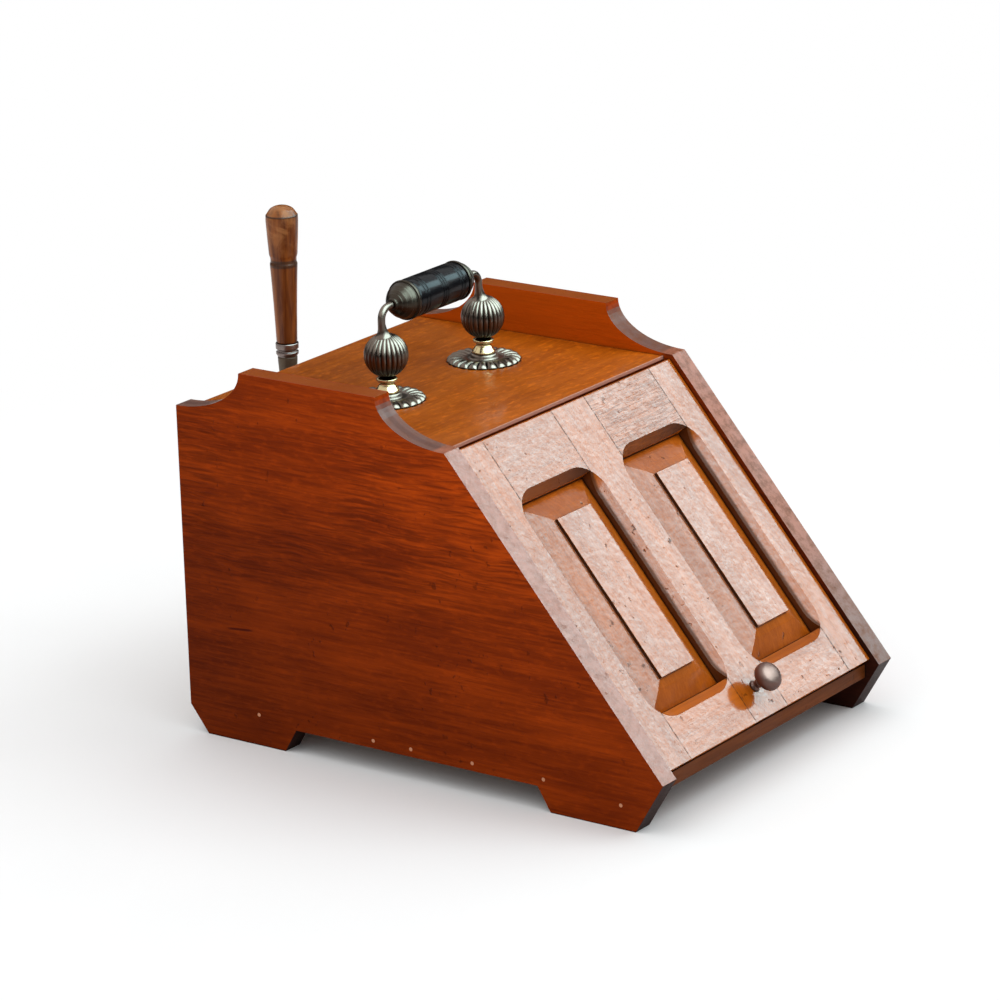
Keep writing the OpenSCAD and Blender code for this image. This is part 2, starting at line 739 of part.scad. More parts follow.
// The rest of an arm: upright, then a bend to +X and a level part that meets the grip's cap
module arm_top() {
    bend_z = grip_z - arm_bend_r;
    rod_hole = rod_in_arm + end_gap;
    difference() {
        union() {
            translate([0, 0, knee_z]) sphere(r = arm_r * 1.06);
            translate([0, 0, knee_z]) cylinder(r = arm_r, h = bend_z - knee_z);
            translate([0, 0, bend_z - cut]) cylinder(r = arm_r / 2, h = 2 * cut);
            translate([arm_bend_r, 0, bend_z]) rotate([90, 180, 0])
                rotate_extrude(angle = -90) translate([arm_bend_r, 0]) circle(r = arm_r);
            translate([arm_bend_r, 0, grip_z]) rotate([0, 90, 0]) {
                cylinder(r = arm_r, h = arm_reach);
                translate([0, 0, -cut]) cylinder(r = arm_r / 2, h = 2 * cut);
            }
        }
        translate([arm_bend_r + arm_reach - rod_hole, 0, grip_z]) rotate([0, 90, 0])
            cylinder(r = rod_r + hole_clear, h = rod_hole + cut);
    }
}

module handle_arms() {
    color("darkkhaki") row() for (m = [0, 1]) translate([(2 * m - 1) * post_x, handle_y, 0]) {
        arm_foot();
        translate([-arm_out, 0, 0]) mirror([m, 0, 0]) arm_top();
    }
}

module handle_studs() {
    low = deck_under - washer_t - nut_h - thread_out;
    color("gray") at_posts() translate([0, 0, low])
        cylinder(r = stud_r, h = ball_z + stud_past - low);
}

module handle_nuts() {
    color("dimgray") at_posts() difference() {
        union() {
            translate([0, 0, deck_under - washer_t]) cylinder(r = washer_r, h = washer_t);
            translate([0, 0, deck_under - washer_t - nut_h])
                cylinder(r = nut_r, h = nut_h + washer_t / 2, $fn = 6);
        }
        bore(stud_r, deck_under - washer_t - nut_h - cut, deck_under + cut);
    }
}

// Turns children, whose own z is the grip's length, to lie along x at the grip's axis
module along_grip() {
    row() translate([-arm_out, handle_y, grip_z]) rotate([0, 90, 0]) children();
}

module grip() {
    half = grip_len / 2;
    color("#202020") along_grip() difference() {
        rotate_extrude($fn = 72) polygon([
            [0, -half], [grip_end_r, -half], [grip_end_r, grip_edge / 2 - half],
            [grip_r * 0.985, grip_edge - half], [grip_r, -half / 2], [grip_r, half / 2],
            [grip_r * 0.985, half - grip_edge], [grip_end_r, half - grip_edge / 2],
            [grip_end_r, half], [0, half]]);
        bore(rod_r, -half - cut, half + cut);
    }
}

module grip_caps() {
    color("darkkhaki") along_grip() for (m = [0, 1]) mirror([0, 0, m])
        translate([0, 0, -grip_len / 2 - cap_len]) difference() {
            rotate_extrude($fn = 64) polygon([
                [0, 0], [arm_r * 1.5, 0], [arm_r * 1.76, cap_len * 0.06],
                [grip_end_r * 0.56, cap_len * 0.18], [grip_end_r * 0.72, cap_len * 0.34],
                [grip_end_r * 0.88, cap_len * 0.56],
                [grip_end_r * 0.96, cap_len - cap_ring_w * 1.15],
                [cap_ring_r, cap_len - cap_ring_w], [cap_ring_r, cap_len], [0, cap_len]]);
            bore(rod_r, -cut, cap_len + cut);
        }
}

module grip_rod() {
    color("gray") along_grip() translate([0, 0, -rod_len / 2]) cylinder(r = rod_r, h = rod_len);
}

// ---- Shovel, and the bracket that it drops into ----

function blade_half(z) = (blade_tip_w + (blade_heel_w - blade_tip_w) * (z - tip_z)
                          / (blade_top_z - tip_z)) / 2;
function blade_up(z) = blade_tip_up + (blade_heel_up - blade_tip_up) * (z - tip_z)
                       / (blade_top_z - tip_z);
bracket_half = blade_half(bracket_top) + blade_clear;
bracket_in = blade_y + blade_up(bracket_top) + blade_clear;
function screw_places() = [for (s = [-1, 1])
    [s * (bracket_half + bracket_t + bracket_ear / 2), bracket_top - bracket_h / 2]];

// The space inside the blade's outer faces, moved in by shrink and run past its open sides
module blade_space(shrink, open) {
    half_top = blade_heel_w / 2 - shrink;
    half_tip = blade_tip_w / 2 - shrink;
    low = tip_z - open;
    high = blade_top_z - shrink;
    intersection() {
        translate([0, blade_y + shrink, 0]) rotate([90, 0, 0]) mirror([0, 0, 1])
            linear_extrude(blade_heel_up + 2 * open)
                polygon([[-half_tip, low], [half_tip, low], [half_top, high], [-half_top, high]]);
        across(-blade_heel_w, blade_heel_w) polygon([
            [blade_y + shrink, low], [blade_y + blade_tip_up + open, low],
            [blade_y + blade_heel_up + open, high], [blade_y + shrink, high]]);
    }
}

module shovel_blade() {
    color("dimgray") row() difference() {
        blade_space(0, 0);
        blade_space(blade_t, cut);
        for (p = rivet_places())
            translate([p[0], p[1], blade_top_z - blade_t - cut])
                cylinder(r = rivet_r + hole_clear, h = blade_t + 2 * cut);
    }
}

function rivet_places() = [for (s = [-1, 1]) [s * rivet_out, shovel_y]];

module shovel_socket() {
    color("dimgray") row() difference() {
        translate([0, shovel_y, blade_top_z]) rotate_extrude() polygon([
            [0, 0], [flange_r, 0], [flange_r, flange_t], [socket_low_r * 1.13, flange_h],
            [socket_low_r, flange_h * 2.3], [socket_r, socket_len], [0, socket_len]]);
        translate([0, shovel_y, haft_z - tang_len - end_gap])
            cylinder(r = tang_r + hole_clear, h = tang_len + end_gap);
        for (p = rivet_places())
            translate([p[0], p[1], blade_top_z - cut])
                cylinder(r = rivet_r + hole_clear, h = flange_h + 2 * cut);
    }
}

module shovel_rivets() {
    color("gray") row() for (p = rivet_places()) translate([p[0], p[1], blade_top_z]) {
        translate([0, 0, -blade_t]) cylinder(r = rivet_r, h = blade_t + rivet_up);
        translate([0, 0, -blade_t - rivet_head_h])
            cylinder(r1 = rivet_r * 0.9, r2 = rivet_r * 1.8, h = rivet_head_h);
    }
}

module shovel_ferrule() {
    color("silver") row() difference() {
        translate([0, shovel_y, ferrule_z]) rotate_extrude() polygon([
            [0, 0], [socket_r, 0], [socket_r, ferrule_len * 0.11],
            [ferrule_r, ferrule_len * 0.18], [ferrule_r, ferrule_len * 0.36],
            [ferrule_r * 0.93, ferrule_len * 0.42], [ferrule_r * 0.93, ferrule_len * 0.56],
            [ferrule_r, ferrule_len * 0.64], [ferrule_r, ferrule_len], [0, ferrule_len]]);
        translate([0, shovel_y, ferrule_z - cut])
            cylinder(r = tang_r + hole_clear, h = ferrule_len + 2 * cut);
    }
}

// The turned handle and the tang at its foot, which fills the ferrule and the socket
module shovel_haft() {
    color("peru") row() translate([0, shovel_y, haft_z]) rotate_extrude() polygon([
        [0, -tang_len], [tang_r, -tang_len], [tang_r, 0], [haft_low_r, 0],
        [haft_low_r * 1.05, haft_len * 0.15], [haft_r * 0.78, haft_len * 0.4],
        [haft_r * 0.88, haft_len * 0.585], [haft_r * 0.85, haft_len * 0.6],
        [haft_r * 0.85, haft_len * 0.62], [haft_r * 0.89, haft_len * 0.635],
        [haft_r * 0.97, haft_len * 0.82], [haft_r, haft_len * 0.9],
        [haft_r * 0.985, haft_len * 0.935], [haft_r * 0.72, haft_len * 0.98],
        [haft_r * 0.4, haft_len * 0.996], [0, haft_len]]);
}

module rounded_end(half, front, corner) {
    translate([-half, 0]) square([2 * half, front - corner]);
    translate([-half + corner, 0]) square([2 * (half - corner), front]);
    for (s = [-1, 1]) translate([s * (half - corner), front - corner]) circle(r = corner);
}

// A strap bent to a U behind the back board, with an ear screwed on at each side
module shovel_bracket() {
    stand_off = bracket_in - back_y;
    outer = bracket_half + bracket_t;
    color("darkgoldenrod") row() difference() {
        translate([0, back_y, bracket_top - bracket_h]) linear_extrude(bracket_h) difference() {
            union() {
                rounded_end(outer, stand_off + bracket_t, bracket_corner + bracket_t);
                translate([-outer - bracket_ear, 0])
                    square([2 * (outer + bracket_ear), bracket_t]);
            }
            translate([0, -cut]) rounded_end(bracket_half, stand_off + cut, bracket_corner);
        }
        for (s = screw_places()) translate([s[0], back_y - cut, s[1]]) rotate([-90, 0, 0])
            cylinder(r = screw_r + hole_clear, h = bracket_t + 2 * cut);
    }
}

module bracket_screws() {
    head_r = 2 * screw_r;
    color("goldenrod") row() for (s = screw_places())
        translate([s[0], back_y + bracket_t, s[1]]) rotate([-90, 0, 0]) {
            translate([0, 0, end_gap - screw_in - bracket_t])
                cylinder(r = screw_r, h = screw_in + bracket_t - end_gap + screw_head_h / 2);
            cylinder(r1 = head_r, r2 = head_r * 0.6, h = screw_head_h);
        }
}

// ---- Liner: a loose sheet-metal trough that stands on the bottom board ----

module liner() {
    half = inner_w / 2 - cleat - liner_gap;
    low = floor_top + liner_lift;
    front = rail_d + liner_gap;
    back = front + liner_len;
    top_z = low + liner_h;
    // the liner's sloped edge runs along a line through this point under the lid
    edge = lid_point(0, -lid_t - liner_edge);
    rise = tan(slope_deg);
    front_z = edge[1] + rise * (front - edge[0]);
    bend_y = edge[0] + (top_z - edge[1]) / rise;
    color("lightsteelblue") row() difference() {
        across(-half, half)
            polygon([[front, low], [back, low], [back, top_z], [bend_y, top_z],
                     [front, front_z]]);
        across(-half + liner_t, half - liner_t)
            polygon([[front + liner_t, low + liner_t], [back - liner_t, low + liner_t],
                     [back - liner_t, top_z + cut], [bend_y - cut, top_z + cut],
                     [front + liner_t, front_z + cut + liner_t * rise]]);
    }
}

side_left();
side_right();
top_board();
back_board();
bottom_board();
front_rail();
lid_stops();
top_cleats();
side_nails();
lid_stile_left();
lid_stile_right();
lid_muntin();
lid_top_rails();
lid_bottom_rails();
lid_panel_left();
lid_panel_right();
lid_pivot_pins();
lid_knob();
knob_nut();
handle_rosettes();
handle_necks();
handle_balls();
handle_arms();
handle_studs();
handle_nuts();
grip();
grip_caps();
grip_rod();
shovel_bracket();
bracket_screws();
shovel_blade();
shovel_socket();
shovel_rivets();
shovel_ferrule();
shovel_haft();
liner();
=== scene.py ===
"""Looks of the slant-front oak coal box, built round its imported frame. Metres, in the row's frame."""
import json
import math

import bmesh
import bpy
from mathutils import Matrix, Vector

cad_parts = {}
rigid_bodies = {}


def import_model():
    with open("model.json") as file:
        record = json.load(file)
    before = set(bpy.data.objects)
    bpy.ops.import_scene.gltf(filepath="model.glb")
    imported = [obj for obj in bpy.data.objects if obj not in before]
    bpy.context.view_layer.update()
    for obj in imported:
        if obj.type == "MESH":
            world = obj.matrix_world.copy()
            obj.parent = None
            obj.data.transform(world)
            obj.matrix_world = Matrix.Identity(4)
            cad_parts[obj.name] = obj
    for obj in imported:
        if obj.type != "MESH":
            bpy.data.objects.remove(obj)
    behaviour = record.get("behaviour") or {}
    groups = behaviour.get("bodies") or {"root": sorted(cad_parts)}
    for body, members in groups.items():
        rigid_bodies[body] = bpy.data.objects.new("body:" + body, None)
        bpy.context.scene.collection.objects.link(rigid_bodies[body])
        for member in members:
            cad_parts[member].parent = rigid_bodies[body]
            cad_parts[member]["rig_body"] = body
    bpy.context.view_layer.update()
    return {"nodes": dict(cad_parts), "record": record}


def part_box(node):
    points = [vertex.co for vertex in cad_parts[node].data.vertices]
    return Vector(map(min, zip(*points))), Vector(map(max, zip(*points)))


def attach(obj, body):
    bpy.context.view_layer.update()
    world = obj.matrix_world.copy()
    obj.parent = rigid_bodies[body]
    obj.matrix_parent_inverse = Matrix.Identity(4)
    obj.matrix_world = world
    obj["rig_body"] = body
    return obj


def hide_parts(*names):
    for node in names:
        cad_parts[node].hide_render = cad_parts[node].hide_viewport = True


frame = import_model()
MM = 0.001
LID_TILT = math.radians(50)   # the slanted front, from the floor
UP_LID = Vector((0, math.cos(LID_TILT), math.sin(LID_TILT)))
OUT_OF_LID = Vector((0, -math.sin(LID_TILT), math.cos(LID_TILT)))


# ---- Camera ----

CAMERA_AT = (-2.79086, -1.9899, 1.26623)
CAMERA_AZIMUTH = -54.26
CAMERA_ELEVATION = 17.58
CAMERA_ROLL = -1.64
CAMERA_LENS = 164.48
CAMERA_SHIFT = (-0.00098, 0.00033)


def make_camera():
    data = bpy.data.cameras.new("camera")
    camera = bpy.data.objects.new("camera", data)
    bpy.context.scene.collection.objects.link(camera)
    a, e, r = (math.radians(v) for v in (CAMERA_AZIMUTH, CAMERA_ELEVATION, CAMERA_ROLL))
    back = Vector((math.sin(a) * math.cos(e), -math.cos(a) * math.cos(e), math.sin(e)))
    right = Vector((0, 0, 1)).cross(back).normalized()
    up = back.cross(right)
    turned_right = right * math.cos(r) + up * math.sin(r)
    turned_up = up * math.cos(r) - right * math.sin(r)
    camera.matrix_world = Matrix.Translation(CAMERA_AT) @ Matrix(
        (turned_right, turned_up, back)).transposed().to_4x4()
    data.sensor_width = 36
    data.lens = CAMERA_LENS
    data.shift_x, data.shift_y = CAMERA_SHIFT
    data.clip_start, data.clip_end = 0.1, 100
    bpy.context.scene.camera = camera


make_camera()


# ---- Node helpers ----

class Shader:
    """A material under construction. Each call adds one node and returns its main output."""

    def __init__(self, name):
        self.material = bpy.data.materials.new(name)
        self.material.use_nodes = True
        self.nodes = self.material.node_tree.nodes
        self.links = self.material.node_tree.links
        self.bsdf = self.nodes["Principled BSDF"]
        coordinates = self.add("ShaderNodeTexCoord").outputs
        self.place, self.normal = coordinates["Object"], coordinates["Normal"]

    def add(self, kind, inputs=None, **settings):
        node = self.nodes.new(kind)
        for key, value in settings.items():
            setattr(node, key, value)
        for key, value in (inputs or {}).items():
            self.feed(node.inputs[key], value)
        return node

    def feed(self, socket, value):
        if isinstance(value, bpy.types.NodeSocket):
            self.links.new(value, socket)
        elif isinstance(value, tuple) and len(value) == 3 and socket.type == "RGBA":
            socket.default_value = (*value, 1)
        else:
            socket.default_value = value

    def surface(self, **inputs):
        """Sets the shader's own sockets, named with _ for a space."""
        for key, value in inputs.items():
            self.feed(self.bsdf.inputs[key.replace("_", " ")], value)
        return self.material

    def mapped(self, scale=(1, 1, 1), turn=(0, 0, 0), move=(0, 0, 0), vector=None):
        return self.add("ShaderNodeMapping", {
            "Vector": vector or self.place, "Scale": scale,
            "Rotation": tuple(math.radians(v) for v in turn), "Location": move}).outputs[0]

    def noise(self, scale, vector=None, detail=3.0, rough=0.55, distortion=0.0):
        return self.add("ShaderNodeTexNoise", {
            "Vector": vector or self.place, "Scale": scale, "Detail": detail,
            "Roughness": rough, "Distortion": distortion}).outputs[0]

    def bands(self, scale, vector, distortion, detail):
        return self.add("ShaderNodeTexWave", {
            "Vector": vector, "Scale": scale, "Distortion": distortion, "Detail": detail,
            "Detail Scale": 1.0}, bands_direction="Y").outputs["Fac"]

    def span(self, value, low, high, to_low=0.0, to_high=1.0):
        """Value between low and high, stretched to run from to_low to to_high."""
        return self.add("ShaderNodeMapRange", {
            "Value": value, "From Min": low, "From Max": high, "To Min": to_low,
            "To Max": to_high}, interpolation_type="SMOOTHSTEP").outputs[0]

    def math(self, operation, a, b=0.0):
        node = self.add("ShaderNodeMath", operation=operation)
        self.feed(node.inputs[0], a)
        self.feed(node.inputs[1], b)
        return node.outputs[0]

    def times(self, *values):
        """The product of its values."""
        result = values[0]
        for value in values[1:]:
            result = self.math("MULTIPLY", result, value)
        return result

    def plus(self, *values):
        """The sum of its values."""
        result = values[0]
        for value in values[1:]:
            result = self.math("ADD", result, value)
        return result

    def gap(self, a, b):
        """How far two values are apart."""
        return self.math("ABSOLUTE", self.math("SUBTRACT", a, b))

    def mix(self, share, a, b):
        node = self.add("ShaderNodeMix", data_type="RGBA")
        self.feed(node.inputs["Factor"], share)
        for socket, value in zip([s for s in node.inputs if s.type == "RGBA"], (a, b)):
            self.feed(socket, value)
        return [s for s in node.outputs if s.type == "RGBA"][0]

    def part(self, vector, axis):
        """One coordinate of a vector."""
        return self.add("ShaderNodeSeparateXYZ", {"Vector": vector}).outputs[axis]

    def toward(self, direction):
        """How far the surface faces a direction, from -1 to 1."""
        return self.add("ShaderNodeVectorMath", {0: self.normal, 1: direction},
                        operation="DOT_PRODUCT").outputs["Value"]

    def bump(self, height, distance, strength=1.0):
        return self.add("ShaderNodeBump", {
            "Height": height, "Distance": distance, "Strength": strength}).outputs[0]


# ---- Materials ----

ALONG_Y = (0, 0, -90)          # turns that lay the grain
ALONG_X = (0, 0, 0)
ACROSS_LID = (-50, 0, 0)
UP_LID_GRAIN = (-50, 0, -90)
LID_LIGHT = (0.46, 0.108, 0.005)
LID_DARK = (0.30, 0.064, 0.002)
PINE_LIGHT = (0.5, 0.31, 0.15)
PINE_DARK = (0.33, 0.18, 0.08)
POLISH_AND_SHADE = (0.012, 0.006, 0.004)   # black: old polish and painted shade in the hollows
VARNISH_GLOSS = 0.1
WOOD_ROUGH = (0.34, 0.48)
SLOPE_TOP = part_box("top_board")[0].y
SIDE_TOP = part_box("side_left")[1].z
OUTER_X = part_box("side_left")[0].x
EDGE_MIDDLE = (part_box("side_right")[0].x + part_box("side_right")[1].x) / 2
LID_JOINTS = (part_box("lid_stile_left")[1].x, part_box("lid_muntin")[0].x,
              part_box("lid_muntin")[1].x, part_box("lid_stile_right")[0].x)
CRACK_Y, CRACK_Z = 155 * MM, 94 * MM   # the middle of the crack in the left-hand board
CRACK_HALF = 15 * MM
CRACK_SLOPE = 0.089


def scaled(colour, by):
    return tuple(min(1, by * v) for v in colour)


def grained(s, turn, seed):
    """The place of a point with x along the grain, y across it and z through the board."""
    return s.mapped(turn=turn, move=(0.37 * seed, 0.21 * seed, 0.13 * seed))


def oak_grain(s, grain, light, dark, streaks, rays):
    """Colour and height of the wood's figure: bands, fibres, pores and ray flecks."""
    figure = s.noise(1.0, s.mapped(scale=(5, 70, 70), vector=grain), 5, 0.6, 0.5)
    fibre = s.noise(1.0, s.mapped(scale=(22, 420, 420), vector=grain), 3, 0.6, 0.3)
    patches = s.noise(15, s.mapped(scale=(0.5, 1, 1), vector=grain), 4)
    pores = s.span(s.noise(1.0, s.mapped(scale=(50, 1300, 1300), vector=grain), 2), 0.6, 0.72)
    pores = s.times(pores, 0.6 * streaks)
    tone = s.plus(s.times(figure, 0.55), s.times(patches, 0.45),
                  s.times(s.math("SUBTRACT", fibre, 0.5), 0.5))
    colour = s.mix(s.span(tone, 0.3, 0.75), dark, light)
    colour = s.mix(pores, colour, scaled(dark, 0.3))
    if rays:
        fleck = s.noise(1.0, s.mapped(scale=(110, 260, 260), turn=(0, 28, 28), vector=grain), 3)
        colour = s.mix(s.times(s.span(fleck, 0.5, 0.72), rays), colour, scaled(light, 1.7))
    height = s.plus(s.times(fibre, 0.8), s.times(figure, 0.4))
    return colour, s.math("SUBTRACT", height, pores)


def nicks(s, share):
    """Small dents, in groups."""
    spots = s.span(s.noise(130, detail=2), 0.66, 0.74)
    groups = s.span(s.noise(11, detail=1), 0.42, 0.58)
    return s.times(spots, groups, share)


def seam_darkening(s, places):
    """Dark marks along the joints that run up the lid at the given x: dotted dirt lines where the
    wood is flat, broad dark bands at the foot of the slanting faces."""
    x = s.part(s.place, 0)
    near = s.gap(x, places[0])
    for place in places[1:]:
        near = s.math("MINIMUM", near, s.gap(x, place))
    dots = s.span(s.noise(260, detail=2), 0.38, 0.55, 0.3, 0.8)
    line = s.times(s.span(near, 0.35 * MM, 0.9 * MM, 1, 0), dots)
    slant = s.span(s.math("ABSOLUTE", s.part(s.normal, 0)), 0.05, 0.2)
    band = s.span(near, 1.0 * MM, 3.4 * MM, 0.85, 0)
    return s.plus(s.times(line, s.math("SUBTRACT", 1.0, slant)), s.times(band, slant))


def shade_pocket_ends(s, colour, shine):
    """The slanting faces at both ends of the lid's pockets: dull, and with painted shade at the upper
    end, most of all towards its right-hand corner."""
    up = s.toward(UP_LID)
    shine = s.times(shine, s.span(s.math("ABSOLUTE", up), 0.08, 0.2, 1, 0.06))
    pitch = LID_JOINTS[2] - LID_JOINTS[0]
    along = s.math("DIVIDE", s.math("SUBTRACT", s.part(s.place, 0), LID_JOINTS[0]), pitch)
    # The share of painted shade, growing towards each pocket's right-hand corner.
    corner = s.span(s.math("FRACT", along), 0.25, 0.7, 0.55, 0.93)
    dark = s.times(s.span(up, -0.08, -0.2), s.span(up, -0.9, -0.6), corner)
    # Painted shade on the upper end's slanting face.
    return s.mix(dark, colour, (0.035, 0.009, 0.003)), shine


def field_walls_polish_and_shade(s, colour):
    """The upright little walls round a panel's field, near black: old polish and painted shade."""
    wall_polish_and_shade = s.span(s.math("ABSOLUTE", s.toward(OUT_OF_LID)), 0.6, 0.3)
    return s.mix(s.times(wall_polish_and_shade, 0.93), colour, POLISH_AND_SHADE)


def deck_front_highlight(s, colour):
    """The top board's front arris, with a pale line painted on it as a highlight."""
    arris_highlight = s.span(s.part(s.place, 1), SLOPE_TOP + 0.5 * MM, SLOPE_TOP + 1.3 * MM, 0.75, 0)
    return s.mix(arris_highlight, colour, (0.55, 0.33, 0.27))


def faded(s, colour, fades):
    """Darkens a colour along an axis. A fade is (axis, start, end, share of black at the end)."""
    for axis, start, end, share in fades:
        colour = s.mix(s.span(s.part(s.place, axis), start, end, 0, share), colour, (0, 0, 0))
    return colour


def by_side(s, x, left, right):
    """A value that differs between the left-hand and the right-hand side board."""
    return s.span(x, 0.0, 0.1, left, right)


def crack(s, x, y, z):
    """1 along a short crack low on the left-hand board's outer face."""
    off = s.gap(s.plus(z, s.times(y, CRACK_SLOPE)), CRACK_Z + CRACK_SLOPE * CRACK_Y)
    ends = s.span(s.gap(y, CRACK_Y), 0.5 * CRACK_HALF, CRACK_HALF, 1, 0)
    outer = s.span(x, OUTER_X + 2 * MM, OUTER_X + 1 * MM)
    return s.times(s.span(off, 0.4 * MM, 1.5 * MM, 1, 0), ends, outer)


def shaded_side(s, colour, x, y, z, facing):
    """A side board's inner face with painted light: paler behind the slope's top, painted shade low
    down before it, and painted shade on its undercuts."""
    inner = s.span(s.times(s.part(s.normal, 0), x), -0.05, -0.12)
    behind = s.span(y, SLOPE_TOP - 4 * MM, SLOPE_TOP + 4 * MM)
    # Painted light: the inner face behind the slope's top is made paler.
    colour = s.mix(s.times(inner, behind, 0.55), colour, (0.60, 0.10, 0.003))
    # Painted shade: the inner face low down before the slope's top, and the undercuts, go near black.
    cavity_shade = s.times(inner, s.span(z, 0.12, 0.06, 0.5, 0.88), s.math("SUBTRACT", 1.0, behind))
    undercut_shade = s.span(facing, -0.1, -0.5, 0, 0.92)
    return s.mix(s.math("MAXIMUM", cavity_shade, undercut_shade), colour, (0.01, 0.006, 0.005))


def worn_edge(s, x, y, z, off_middle):
    """The grey of a side board's slope and scoops, with a painted dark reflection down the middle of
    the scoops, and the share of varnish left on them.
    """
    scoop = s.span(y, SLOPE_TOP, SLOPE_TOP + 4 * MM)
    grey = s.mix(scoop, (0.38, 0.145, 0.09), (0.15, 0.09, 0.075))
    far_foot = s.times(by_side(s, x, 0, 1), s.span(z, 0.16, 0.05))
    grey = s.mix(far_foot, grey, (0.19, 0.11, 0.09))
    stain = s.times(s.span(s.noise(130, detail=5, rough=0.7), 0.35, 0.7), 0.6,
                    by_side(s, x, 0.8, 1.5))
    grey = s.mix(stain, grey, (0.15, 0.055, 0.025))
    # Painted reflection: a dark streak down the middle of each scoop, where less varnish is left too.
    streak = s.times(s.span(off_middle, 1.5 * MM, 5 * MM, 0.38, 0), scoop,
                     by_side(s, x, 1, 0.4))
    grey = s.mix(streak, grey, (0.03, 0.018, 0.018))
    left_on = s.times(s.span(scoop, 0, 1, 0.95, 0.27), by_side(s, x, 0.72, 0.23),
                      s.span(s.math("MAXIMUM", stain, streak), 0, 1, 1, 0.4))
    return grey, left_on


def side_wear(s, colour, coat, specular):
    """A side board by place: bare outer face with a crack, worn grey glossy edges, shaded inner
    face. Gives the colour, the share of varnish and the specular level."""
    facing = s.part(s.normal, 2)
    x, y, z = (s.part(s.place, axis) for axis in range(3))
    off_middle = s.gap(s.math("ABSOLUTE", x), EDGE_MIDDLE)
    colour = shaded_side(s, colour, x, y, z, facing)
    colour = s.mix(s.times(crack(s, x, y, z), 0.85), colour, (0.04, 0.003, 0.001))
    edge = s.times(s.span(facing, 0.15, 0.5),
                   s.span(z, SIDE_TOP - 2 * MM, SIDE_TOP - 0.6 * MM, 0.9, 0.1))
    grey, left_on = worn_edge(s, x, y, z, off_middle)
    colour = s.mix(edge, colour, grey)
    top = s.times(s.span(z, SIDE_TOP - 1.2 * MM, SIDE_TOP - 0.4 * MM),
                  s.span(off_middle, 7.5 * MM, 8.8 * MM, 1, 0))
    colour = s.mix(s.times(top, 0.9), colour, (0.24, 0.05, 0.003))
    return (colour, s.span(facing, 0.15, 0.5, 0, s.times(left_on, coat)),
            s.span(facing, 0.15, 0.5, 0.03, specular))


def corrugated(s, colour, grain, ribs, light, dark):
    """Lays a corrugated figure over the wood: furrows darkened as dark grain and painted shade, crests
    lightened as a painted highlight. Gives the colour and the depth of its furrows.
    """
    crest, where = ribs(s, grain)
    deep = s.times(s.span(crest, 0.56, 0.36), where)
    colour = s.mix(s.times(deep, 0.6), colour, scaled(dark, 0.3))
    # Painted highlight on the crests.
    ridge_highlight = s.times(s.span(crest, 0.56, 0.68), where)
    return s.mix(s.times(ridge_highlight, 0.25), colour, scaled(light, 1.6)), deep


def varnish_shine(s, grain, mottle, dull, nick):
    """The share of varnish that shines: streaked, clouded and specked, and gone where the wood
    is dull or dented."""
    streak = s.noise(1.0, s.mapped(scale=(10, 60, 60), vector=grain), 4)
    cloud = s.noise(150, detail=4, rough=0.65)
    speck = s.noise(1.0, s.mapped(scale=(260, 620, 620), vector=grain), 3, 0.7)
    relief = s.math("SUBTRACT", s.noise(210, detail=3),
                    s.noise(210, s.mapped(move=(0.6 * MM, 0.4 * MM, 0.9 * MM)), detail=3))
    return s.times(s.span(streak, 0.25, 0.75, 0.8, 1.0),
                   s.span(cloud, 0.3, 0.7, 1 - 2 * mottle, 1.0),
                   s.span(speck, 0.35, 0.65, 1 - 1.4 * mottle, 1.0),
                   s.plus(1.0, s.times(relief, 13 * mottle)),
                   s.span(dull, 0, 1, 1, 0.06), s.span(nick, 0, 1, 1, 0.3))


def oak(name, light, dark, turn, seed=1, coat=1.0, specular=0.1, ribs=None, streaks=0.5,
        dents=0.3, grime_and_shade_reach=1.6 * MM, rays=0.0, mottle=0.1, seams=(), fades=(), kind="board"):
    """Varnished oak. turn lays the grain along x. ribs(shader, grain) gives a corrugated figure
    and where it shows."""
    s = Shader(name)
    grain = grained(s, turn, seed)
    colour, height = oak_grain(s, grain, light, dark, streaks, rays)
    nick = nicks(s, dents)
    # Ambient occlusion darkens the hollows with old polish and painted shade.
    hollow = s.add("ShaderNodeAmbientOcclusion", {"Distance": grime_and_shade_reach}, samples=8).outputs["AO"]
    grime_and_shade = s.span(hollow, 0.97, 0.6)
    if seams:
        grime_and_shade = s.math("MAXIMUM", grime_and_shade, seam_darkening(s, seams))
    dull = grime_and_shade
    if ribs:
        colour, deep = corrugated(s, colour, grain, ribs, light, dark)
        height = s.math("SUBTRACT", height, s.times(deep, 1.6))
        dull = s.math("MAXIMUM", dull, s.times(deep, 0.6))
    colour = s.mix(nick, colour, scaled(dark, 0.25))
    colour = s.mix(s.times(grime_and_shade, 0.92), colour, POLISH_AND_SHADE)
    colour = faded(s, colour, fades)
    wave = s.plus(s.noise(30, detail=2), s.times(s.noise(110, detail=2), 0.35),
                  s.times(height, 0.35))
    shine = varnish_shine(s, grain, mottle, dull, nick)
    if kind == "side":
        colour, coat, specular = side_wear(s, colour, coat, specular)
    elif kind == "cross rail":
        colour, shine = shade_pocket_ends(s, colour, shine)
    elif kind == "panel":
        colour = field_walls_polish_and_shade(s, colour)
    elif kind == "deck":
        colour = deck_front_highlight(s, colour)
    return s.surface(
        Base_Color=colour, Specular_IOR_Level=specular,
        Roughness=s.span(s.noise(24, detail=3), 0.3, 0.7, *WOOD_ROUGH),
        Normal=s.bump(s.math("SUBTRACT", height, s.times(nick, 3)), 0.12 * MM),
        Coat_Weight=s.times(shine, coat), Coat_Roughness=VARNISH_GLOSS,
        Coat_Normal=s.bump(s.math("SUBTRACT", wave, nick), 0.22 * MM, 0.6))


